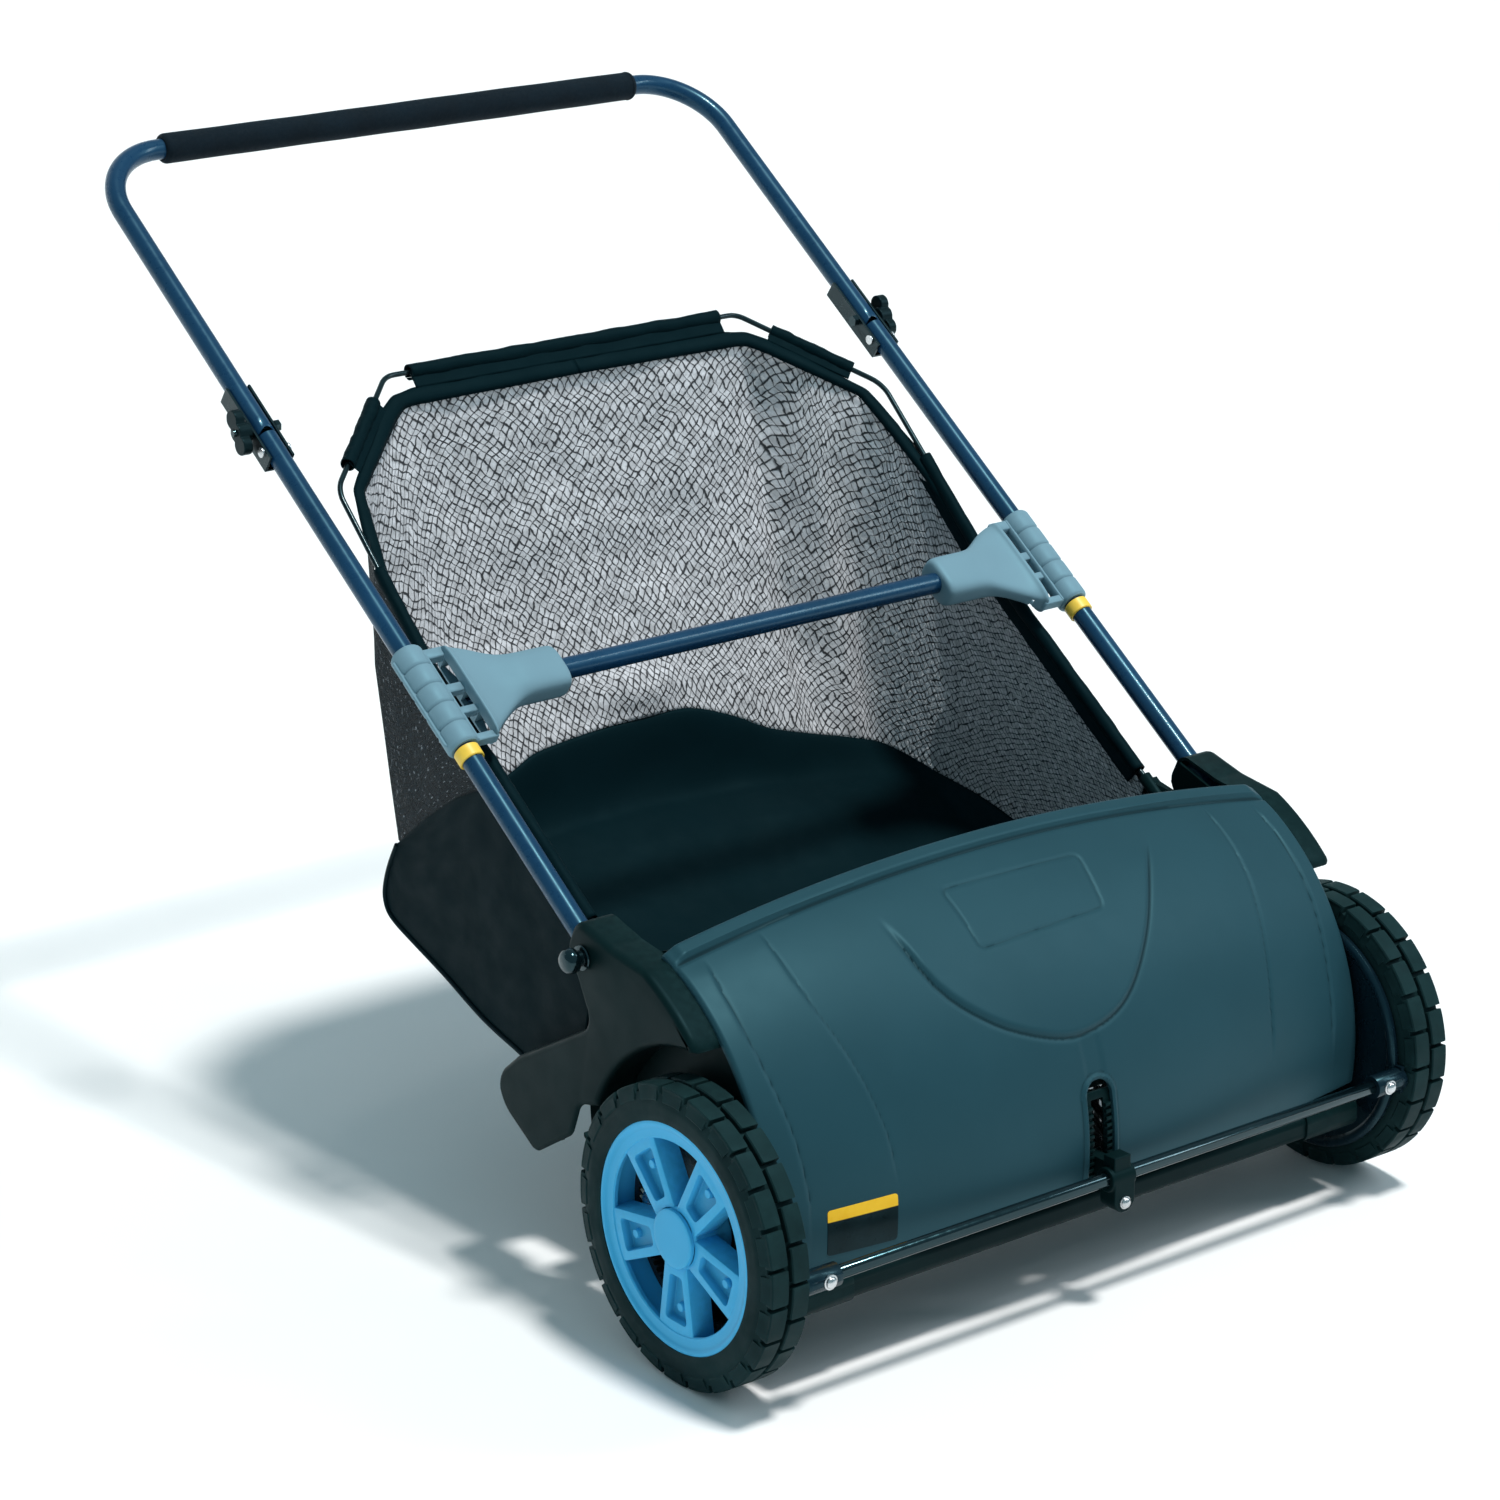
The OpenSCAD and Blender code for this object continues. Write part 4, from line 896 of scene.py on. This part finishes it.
ROD_Y = -110.9
screws = Shape()
for side, _ in SIDES:
    screws.lathe([(ROD_Y - 9.8 - a, r) for a, r in domed(4.6, 5.2, 1.3, 0.9)], side * 313, 116, "y", 36)
piece("rod_screw_domes", screws, "steel", "axle_carrier", "rod_screws")
bolt = Shape().lathe([(ROD_Y - 10.9 - a, r) for a, r in domed(4.4, 4.8, 0.8, 0.9)], 0, 96, "y", 36)
bolt.lathe([(ROD_Y - 11, 0.3), (ROD_Y - 11, 3), (ROD_Y + 12, 3), (ROD_Y + 12, 0.3)], 0, 96, "y", 24)
piece("height_bolt_dome", bolt, "steel", "height_bolt", "height_bolt")

# Upper handle ----------------------------------------------


def make_loop():
    """Bent tube: its right half from the fold to the middle, mirrored."""
    turn = [2 * math.pi * k / 48 for k in range(48)]
    bend = 70
    bend_x, bend_s = TUBE_X - bend, GRIP_S - bend

    def skin(q):
        # The lower end turns about the bolt, so each rim point stops on a circle round it
        half = [[(TUBE_X + q * math.cos(t), q * math.sin(t),
                  FOLD_S - math.sqrt(max(TUBE_R ** 2 - (q * math.sin(t)) ** 2, 0))) for t in turn]]
        half += [[(TUBE_X + q * math.cos(t), q * math.sin(t), s) for t in turn]
                 for s in np.linspace(FOLD_S + 6, bend_s, 24)]
        half += [[(bend_x + (bend + q * math.cos(t)) * math.cos(a), q * math.sin(t),
                   bend_s + (bend + q * math.cos(t)) * math.sin(a)) for t in turn]
                 for a in np.linspace(0, math.pi / 2, 25)[1:]]
        half += [[(x, q * math.sin(t), GRIP_S + q * math.cos(t)) for t in turn]
                 for x in np.linspace(bend_x, 0, 16)[1:]]
        return half + [[(-x, y, z) for x, y, z in ring] for ring in half[-2::-1]]

    return Shape(handle).grid(skin(TUBE_R) + skin(TUBE_R - TUBE_WALL)[::-1], around=True, along=True)


piece("handle_loop_tube", make_loop(), "tube_paint", "upper_handle", "upper_handle")


def make_grip():
    half, r = 266.5, 14
    end = [(half - 5 + 5 * math.sin(t), r - 4 * (1 - math.cos(t))) for t in np.linspace(0, math.pi / 2, 7)]
    mid = [(x, r - 0.25 + 0.22 * math.sin(x / 23) * math.cos(x / 41)) for x in np.linspace(-half + 5, half - 5, 140)]
    profile = [(-half, 9.6)] + [(-a, q) for a, q in end[::-1]] + mid + end + [(half, 9.6)]
    return Shape(handle).lathe(profile, 0, GRIP_S, n=56, loop=True)


piece("grip_sleeve", make_grip(), "foam", "upper_handle", "foam_grip")

# Wheels ----------------------------------------------------


def wheel(side):
    """Turns points (out from the wheel's inner face, y and z from its axle) into place."""
    inner = TYRE_OUT - TYRE_W
    return lambda p: (np.asarray(p, float).reshape(-1, 3) + [inner, 0, WHEEL_R]) * [side, 1, 1]


def tyre_shape(side):
    blocks = 24
    s = Shape(wheel(side))
    w, r = TYRE_W, WHEEL_R
    base = r - 6.3
    profile = [(1.2, 97), (0.3, 100), (0, 104), (0.2, 107), (-0.0, 109.5), (0.3, 112), (1, 114), (2, 117), (3, base),
               (8, base + 0.3), (w / 2, base + 0.6), (w - 8, base + 0.3), (w - 3, base), (w - 2, 117), (w - 1, 114),
               (w - 0.3, 112), (w, 109.5), (w - 0.2, 107), (w, 104), (w - 0.3, 100), (w - 1.2, 97)]
    s.lathe(profile, n=144, loop=True)
    pitch = 2 * math.pi / blocks

    def lug(row, i, run, profile):
        """Lug over a run of shares of the pitch; the second row of blocks is mirrored and half a pitch on."""
        rows = []
        for share, *edges in run:
            t = (i + row / 2 + share) * pitch
            ring = [(w - x if row else x, q) for x, q in profile(*edges)]
            rows.append([(x, q * math.cos(t), q * math.sin(t)) for x, q in ring])
        s.grid(rows, around=True, ends=True)

    def block(a, b):
        low, high = base - 1.5, r - 0.05
        return [(a + 0.2, low), (a + 0.5, high - 1.1), (a + 1.4, high), (b - 1.4, high), (b - 0.5, high - 1.1),
                (b - 0.2, low)]

    # Blocks from a shoulder past the middle, and the shorter lugs that carry them down the sidewall
    long_run = [(0.06, 2.6, 19), (0.08, 2.3, 20), *[(share, 2.2, 20.2) for share in (0.2, 0.34, 0.5, 0.66, 0.8)],
                (0.92, 2.3, 20), (0.94, 2.6, 19)]
    shoulder = [(6, 118), (1.55, 113.4), (0.35, 115.5), (1.65, 121), (2.95, 125), (6, 125)]
    for i in range(blocks):
        for row in (0, 1):
            lug(row, i, long_run, block)
        for row in (0, 1):
            lug(row, i, [(0.14,), (0.38,), (0.62,), (0.86,)], lambda: shoulder)
    return s


def hub_shape(side):
    s = Shape(wheel(side))
    s.lathe([(1.5, 97), (1.5, 90), (2.5, 88.2), (33, 88.2), (34.5, 82.5), (38.2, 81.9), (39.3, 83), (39.3, 90),
             (40.2, 92), (41.3, 93.3), (41.5, 95.5), (41, 97)], n=120, loop=True)
    s.lathe([(1.5, 11), (1.5, 25.5), (3, 27), (37, 27), (38.5, 25.6), (38.5, 14.2), (30.2, 14), (30.2, 11)], n=72,
            loop=True)
    face, back = 38.5, 17.5
    for k in range(5):
        a = 2 * math.pi * k / 5 + math.pi
        # Box spoke: its top outline with a pocket, skirts down to the back
        c, d = math.cos(a), math.sin(a)
        keep = s.at
        s.at = lambda p, c=c, d=d: keep(np.stack([p[:, 2], p[:, 0] * d + p[:, 1] * c, p[:, 0] * c - p[:, 1] * d], 1))
        top = ccw(rounded([(22, -14.5), (86.5, -23.5), (86.5, 23.5), (22, 14.5)], [1, 3, 3, 1], steps=4))
        rim = ccw(rounded([(33, -8), (74, -14.5), (74, 14.5), (33, 8)], 3.5, steps=4))

        def ring(outline, d, z):
            return [(x, y, z) for x, y in inset(outline, d)]
        s.stack(top, [(back, 2.2), (back, 0), (face - 1.4, 0), (face - 0.4, 0.4), (face, 1.4)], "z")
        s.stack(top, [(back, 2.2), (face - 11, 2.2)], "z")
        # Face between the outline and the pocket, then the pocket's walls, its floor and the spoke's underside
        s.grid([ring(top, 1.4, face), ring(rim, 0, face)], around=True)
        s.stack(rim, [(face, 0), (face - 0.7, 0.5), (face - 7.4, 0.9), (face - 8, 1.6)], "z")
        s.add(ring(rim, 1.6, face - 8), [tuple(range(len(rim)))])
        s.add(ring(top, 2.2, face - 11), [tuple(range(len(top)))])
        s.lathe([(face - 8, 4.2), (face - 4.6, 3.9), (face - 4, 3.3), (face - 4, 0.01)], 62, 0, "z", 24)
        s.at = keep
    return s


for side, name in SIDES:
    body = f"wheel_{name}"
    piece(f"tread_{name}", tyre_shape(side), "tyre_rubber", body, f"tyre_{name}", sharp=35)
    piece(f"rim_{name}", hub_shape(side), "hub_blue", body, f"hub_{name}", sharp=40)
    cap = Shape(wheel(side)).lathe([(38.4, 0.01), (38.4, 24.6), (38.8, 25), (41, 25), (41.8, 24.5), (42.2, 23.4),
                                    (42.3, 21), (42.2, 0.01)], n=72)
    piece(f"cap_{name}", cap, "hub_blue", body, f"hub_cap_{name}")

# Brush -----------------------------------------------------


BRUSH_Y = 64


def make_bristles():
    """Six rows of tufts. Each tuft is a fan of tapering bristles with a slight random lean."""
    s = Shape()
    centre = np.array([0, BRUSH_Y, WHEEL_R])
    for row in range(6):
        a = math.pi * row / 3
        down, side = np.array([0, math.sin(a), -math.cos(a)]), np.array([0, math.cos(a), math.sin(a)])
        for tuft in range(50):
            x0 = -294 + 12 * tuft
            for _ in range(26):
                lean, fan, thick = rng.uniform(-3.6, 3.6), rng.uniform(-6, 6), rng.uniform(0.45, 0.7)
                root = [x0 + rng.uniform(-3, 3), rng.uniform(-2.6, 2.6), 25.8]
                tip = [max(-300.5, min(300.5, root[0] + fan)), lean, rng.uniform(112, 117.6)]
                bend = rng.uniform(-1.5, 1.5)
                rows = []
                for share, scale in ((0, 1), (0.5, 0.85), (0.85, 0.6), (1, 0.25)):
                    p = [u + (v - u) * share for u, v in zip(root, tip)]
                    p[1] += bend * math.sin(math.pi * share)
                    mid = centre + [p[0], 0, 0] + side * p[1] + down * p[2]
                    rows.append([mid + thick * scale * (math.cos(t) * np.array([1, 0, 0]) + math.sin(t) * side)
                                 for t in (0, 2.1, 4.2)])
                s.grid(rows, around=True, ends=True)
    return s


piece("bristle_tufts", make_bristles(), "bristle", "brush", "bristle_rows", weld=0.0001)

# Bag -------------------------------------------------------
# Every panel is a grid over its own flat cut, sagged and creased by smooth noise.


def crease(p, scale, depth, seed):
    """Smooth folding of cloth at a point."""
    q = Vector((p[0] / scale + seed, p[1] / scale, p[2] / scale))
    return depth * (noise.noise(q) + 0.45 * noise.noise(q * 2.3))


def cloth_grid(rows):
    """Flat metres for each point of a grid, from the lengths along its middle row and column."""
    n, m = rows.shape[:2]
    across, down = run_along(rows[n // 2]), run_along(rows[:, m // 2])
    return [(float(across[j]) / 1000 + 0.001, float(down[i]) / 1000 + 0.001) for i in range(n) for j in range(m)]


def cloth(name, rows, slot, *nodes, thick, seed, depth, scale, held="hung", rests_on="bag_wire", hold=1.0,
          look=None):
    """A cloth panel over a grid of points; hold is 0 where the cloth is fixed and 1 where it is free."""
    rows = np.array(rows, float)
    normal = np.cross(np.gradient(rows, axis=1), np.gradient(rows, axis=0))
    normal /= np.maximum(np.linalg.norm(normal, axis=2, keepdims=True), 1e-9)
    push = np.array([[crease(p, scale, depth, seed) for p in row] for row in rows]) * hold
    rows = rows + normal * push[..., None]
    o = piece(name, Shape().grid(list(rows), uv=cloth_grid(rows)), slot, "bag", *nodes, thick=thick, sharp=80,
              look=look)
    a, b, c, d = rows[:-1, :-1], rows[:-1, 1:], rows[1:, 1:], rows[1:, :-1]
    size = sum(float(np.linalg.norm(np.cross(p - a, q - a), axis=2).sum()) / 2 for p, q in ((b, c), (c, d))) / 1e6
    width = float(np.linalg.norm(np.diff(rows, axis=1), axis=2).sum(1).max()) / 1000
    length = float(np.linalg.norm(np.diff(rows, axis=0), axis=2).sum(0).max()) / 1000
    return rows


def wire_n(s):
    return np.interp(s, [560, 742, 852], [-25, 0, 5])


# Frame wire with rounded corners, in the handle plane (x, above, up)
WIRE = [(308, -25, 244), (308, -25, 560), (307, 0, 742), (198, 5, 852)]
wire = rounded([(-a, b, c) for a, b, c in WIRE] + WIRE[::-1], [0, 40, 26, 18, 18, 26, 40, 0], closed=False, steps=10)
piece("bag_wire", Shape(handle).tube(spread(wire, 420), 2.5, 16), "black_metal", "bag", "bag_frame")

# Seam between the net and the tub, from the left front round the back to the right front
SEAM = [(-311, 252, 165), (-311, 330, 192), (-310, 410, 222), (-304, 474, 250), (-264, 508, 286), (-200, 530, 309),
        (-145, 543, 324), (-117, 547, 334), (-52, 548, 341), (4, 549, 343), (59, 548, 341), (109, 543, 324),
        (151, 537, 304), (240, 530, 279), (282, 524, 264), (305, 478, 244), (311, 410, 232), (311, 330, 210),
        (311, 252, 165)]
ACROSS = 300
seam = spline(SEAM, ACROSS)
mouth_half = [(307, 190, 312), (306.5, 303.5, 391), (306, 434.6, 482.7), (296, 537, 580), (250, 595, 629),
              (205, 630, 657), (60, 637, 664)]
mouth = spline([np.multiply(p, [-1, 1, 1]) for p in mouth_half] + mouth_half[::-1], ACROSS) - 5.5 * ABOVE


def make_liner():
    """Net liner: from the left wall round the back to the right wall, floor seam to mouth."""
    t = np.linspace(0, 1, 80)[:, None, None]
    rows = seam * (1 - t) + mouth * t
    u, t = np.linspace(0, 1, ACROSS)[None, :], t[..., 0]
    wall = smooth_step(np.abs(rows[..., 0]), 262, 300)
    belly = arch(t) * (1 - wall)
    rows[..., 1] += 17 * belly
    rows[..., 2] -= 6 * belly
    # Upright folds where the net is gathered towards its back corners
    folds = [(0.315, 0.02, 0.013, 10), (0.345, 0.03, 0.012, -6), (0.42, -0.02, 0.03, 5), (0.585, -0.03, 0.02, -6),
             (0.652, -0.05, 0.014, 15), (0.686, -0.05, 0.013, -10), (0.72, -0.03, 0.012, 6)]
    for centre, lean, width, depth in folds:
        rows[..., 1] += depth * bell(u - lean * (t - 0.5), centre, width) * arch(t) ** 0.7
    # The net drawn up in a point from the floor behind the middle
    peak = bell(u, 0.5, 0.035) * bell(t, 0.09, 0.07)
    rows[..., 1] -= 14 * peak
    hold = arch(np.clip(t, 0.015, 0.985)) ** 0.6 * (1 - 0.8 * wall)
    cloth("net_liner", rows, "mesh_fabric", "bag_rear", thick=0.8, seed=3, depth=6, scale=80, hold=hold)


make_liner()


def make_tub():
    """Coated tub under the net: its floor rises at the back to the seam, with rounded corners."""
    across, deep = 150, 110
    u, v = np.linspace(0, 1, across)[None, :, None], np.linspace(0, 1, deep)[:, None, None]
    rear = (np.abs(seam[:, 0]) < 296) & (seam[:, 1] > 470)
    first, last = np.flatnonzero(rear)[[0, -1]]
    left, back, right = spread(seam[:first + 1], deep), spread(seam[first:last + 1], across), \
        spread(seam[last:], deep)[::-1]
    front = left[0] * (1 - u[0]) + right[0] * u[0]
    # Surface between its four edges
    rows = front[None] * (1 - v) + back[None] * v + left[:, None] * (1 - u) + right[:, None] * u
    rows -= (left[0] * (1 - u) + right[0] * u) * (1 - v) + (left[-1] * (1 - u) + right[-1] * u) * v
    u, v = u[..., 0], v[..., 0]
    base = 154 + (rows[..., 1] - 252) * 88 / 242 - 9 * arch(np.minimum(v / 0.75, 1)) * arch(u)
    base = base + 18 * smooth_step(v, 0.5, 0.86) * arch(u)
    wall = 1 - (1 - smooth_step(np.abs(2 * u - 1), 0.9, 1) ** 1.4) * (1 - smooth_step(v, 0.86, 1) ** 1.4)
    rows[..., 2] = base + (rows[..., 2] - base) * wall
    hold = arch(np.clip(u, 0.01, 0.99)) ** 0.5 * (1 - smooth_step(v, 0.93, 1))
    cloth("tub_floor", rows, "solid_fabric", "bag_floor", rests_on="net_liner", thick=1.4, seed=9, depth=2.2,
          scale=95, hold=hold)
    # Outside of the tub's back: from the seam down to the bottom edge
    edge = spline([(-314, 478, 238), (-300, 505, 250), (-255, 530, 262), (-150, 546, 268), (0, 551, 270),
                   (150, 546, 268), (255, 530, 262), (300, 505, 250), (314, 478, 238)], 160)
    top = spread(seam[seam[:, 1] > 474], 160)
    t = np.linspace(0, 1, 16)[:, None, None]
    rows = (top + [0, 1.5, 0]) * (1 - t) + edge * t + arch(t) * [0, 4, 0]
    cloth("tub_back", rows, "solid_fabric", "bag_floor", rests_on="net_liner", thick=1.2, seed=31, depth=1.5,
          scale=60)


make_tub()

SIDE_EDGE = [(208, 160), (252, 163), (296, 175), (348, 188), (408, 211), (455, 227), (480, 236), (493, 244),
             (498, 256), (496, 270), (489, 288), (477, 310)]


def make_sides():
    """Outer side walls: coated skirt below and in front, dark net above, and piping along the edge."""
    border = [(182, 300), (214, 322), (260, 358), (303, 386), (341, 399), (386, 378), (433, 346), (477, 311)]
    edge = border[4:] + [(487, 360), (496, 408), (512, 490), (537, 578)]
    top = [(341, 414), (350, 421), (394, 452), (434.6, 480), (470, 512), (503, 545), (520, 562), (537.2, 578.5)]
    for side, name in SIDES:
        at = lambda line, x: [(side * x, *p) for p in line]
        low = spread(at(SIDE_EDGE, 315), 90)
        high = spread(at(border, 314.5), 90)
        t = np.linspace(0, 1, 44)[:, None, None]
        rows = low * (1 - t) + high * t + arch(t) * [side * 1.0, 0, 0]
        cloth(f"side_skirt_{name}", rows, "solid_fabric", f"bag_side_{name}", rests_on="net_liner", thick=0.9,
              seed=21 + side, depth=1.2, scale=60, hold=arch(t[..., 0]) ** 0.5)
        a, b = spread(at(edge, 313), 80), spread(at(top, 311), 80)
        b[-14:, 0] = side * np.linspace(311, 298, 14)
        a[-22:, 0] = side * np.linspace(313, 299, 22)
        rows = a * (1 - t) + b * t
        cloth(f"side_net_{name}", rows, "mesh_fabric", f"bag_side_{name}", rests_on="net_liner", thick=0.7,
              seed=41 + side, depth=1.0, scale=50, hold=arch(t[..., 0]), look=LOOKS["outer_net"])
        pipe = spline(at(SIDE_EDGE, 315.5), 120)
        piece(f"piping_{name}", Shape().tube(pipe, 2.4, 12), "solid_fabric", "bag", look=LOOKS["piping"])


make_sides()


def make_mouth():
    """Bound edge of the net, sleeves round the wire, and the flaps that hang from them."""
    inner = [(304, 545), (303, 590), (301, 639), (292, 690), (281, 739), (211, 808), (194, 821), (179, 823),
             (0, 825)]
    outer = [(313, 545), (312, 590), (309, 640), (301, 700), (290, 741), (221, 817), (200, 832), (176, 837),
             (0, 839)]
    for side, name in SIDES:
        a, b = (spread(rounded([(side * x, wire_n(q) - 4, q) for x, q in line], 14, closed=False), 150)
                for line in (inner, outer))
        rows = [handle(a + (b - a) * share + [0, lift, 0])
                for share, lift in ((-0.2, -2.5), (0, 0.6), (0.12, 1.6), (0.4, 2.2), (0.7, 2.2), (0.92, 1.2), (1, 0))]
        cloth(f"binding_{name}", rows, "solid_fabric", held="stretched", rests_on="net_liner", thick=1.2, seed=5,
              depth=0.6, scale=25)

    def sleeve(name, path, r, flap, flap_dir, *nodes):
        """Cloth rolled round the wire, with a flat flap hanging off it."""
        path = spread(path, 110)
        up = np.array([0, 1.0, 0])
        side = np.cross(headings(path), up)
        side /= np.linalg.norm(side, axis=1)[:, None]
        rows = []
        for t in np.linspace(-0.5 * math.pi, 1.44 * math.pi, 26):
            wob = np.array([1 + 0.09 * noise.noise(Vector((i / 9, t, r))) for i in range(110)])[:, None]
            rows.append(handle(path + r * wob * (math.cos(t) * side + math.sin(t) * up)))
        cloth(name, rows, "solid_fabric", *nodes, held="stretched", thick=0.9, seed=13, depth=0.6, scale=18)
        rows = [handle(path + np.array(flap_dir) * flap * share + [0, 3.2 - 5.5 * share, 0])
                for share in np.linspace(0, 1, 10)]
        cloth(name + "_flap", rows, "solid_fabric", rests_on=name, thick=1.0, seed=17, depth=0.8, scale=22)

    sleeve("sleeve_top", [(-173, 5, 852), (0, 5, 852), (175, 5, 852)], 6.8, 17, (0, 0, -1), "bag_sleeves")
    for side, name in SIDES:
        sleeve(f"sleeve_corner_{name}", [(side * 224, 3.8, 826), (side * 284, 1.1, 765.5)], 6.2, 13,
               (-side * 0.7, 0, -0.7), "bag_sleeves")
        rail = [(side * 307.5, wire_n(q), q) for q in (657, 620, 590, 562, 545, 500, 400, 276)]
        sleeve(f"sleeve_rail_{name}", rail, 5.6, 15, (-side * 0.35, -0.9, 0), "bag_sleeves")


make_mouth()

# Floor and light -------------------------------------------


def make_stage():
    """Pale floor that curves up into a pale backdrop far behind."""
    s = Shape()
    path = [(-9000, -1)] + [(y, -1) for y in range(-6000, 7001, 1000)]
    path += [(7000 + 2500 * math.sin(t), -1 + 2500 * (1 - math.cos(t))) for t in np.linspace(0.1, math.pi / 2, 14)]
    path += [(9500, 5000), (9500, 9000)]
    s.grid([[(x, y, z) for x in np.linspace(-12000, 12000, 9)] for y, z in path])
    o = new_object("floor", mesh_of(s, "floor"))
    o.data.shade_smooth()
    f = Finish("floor", Specular_IOR_Level=0.2)
    f.set("Base Color", f.mix(f.cloud(1.5, 3, 0.3, 0.7), (0.86, 0.86, 0.86), (0.9, 0.9, 0.9)))
    f.set("Roughness", f.cloud(4, 3, a=0.6, b=0.75))
    o.data.materials.append(f.material)


make_stage()


def towards(direction):
    return Vector(direction).to_track_quat("-Z", "Y").to_euler()


light = bpy.data.lights.new("strip", "AREA")
light.shape, light.size, light.size_y, light.energy, light.color = "RECTANGLE", 0.5, 1.8, 30, (0.9, 0.95, 1)
strip = new_object("strip", light)
strip.location = (2.4, -2.0, 2.6)
strip.rotation_euler = towards((-2.4, 1.8, -2.2))
sun = bpy.data.lights.new("sun", "SUN")
sun.energy, sun.angle, sun.color = 2.9, math.radians(8), (1, 0.985, 0.96)
new_object("sun", sun).rotation_euler = towards((-0.12, 0.27, -0.96))
world = bpy.data.worlds.new("studio")
bpy.context.scene.world = world
world.use_nodes = True
sky = world.node_tree.nodes["Background"].inputs
sky["Color"].default_value, sky["Strength"].default_value = (0.56, 0.88, 1, 1), 0.4
bpy.context.scene.view_settings.view_transform = "Standard"
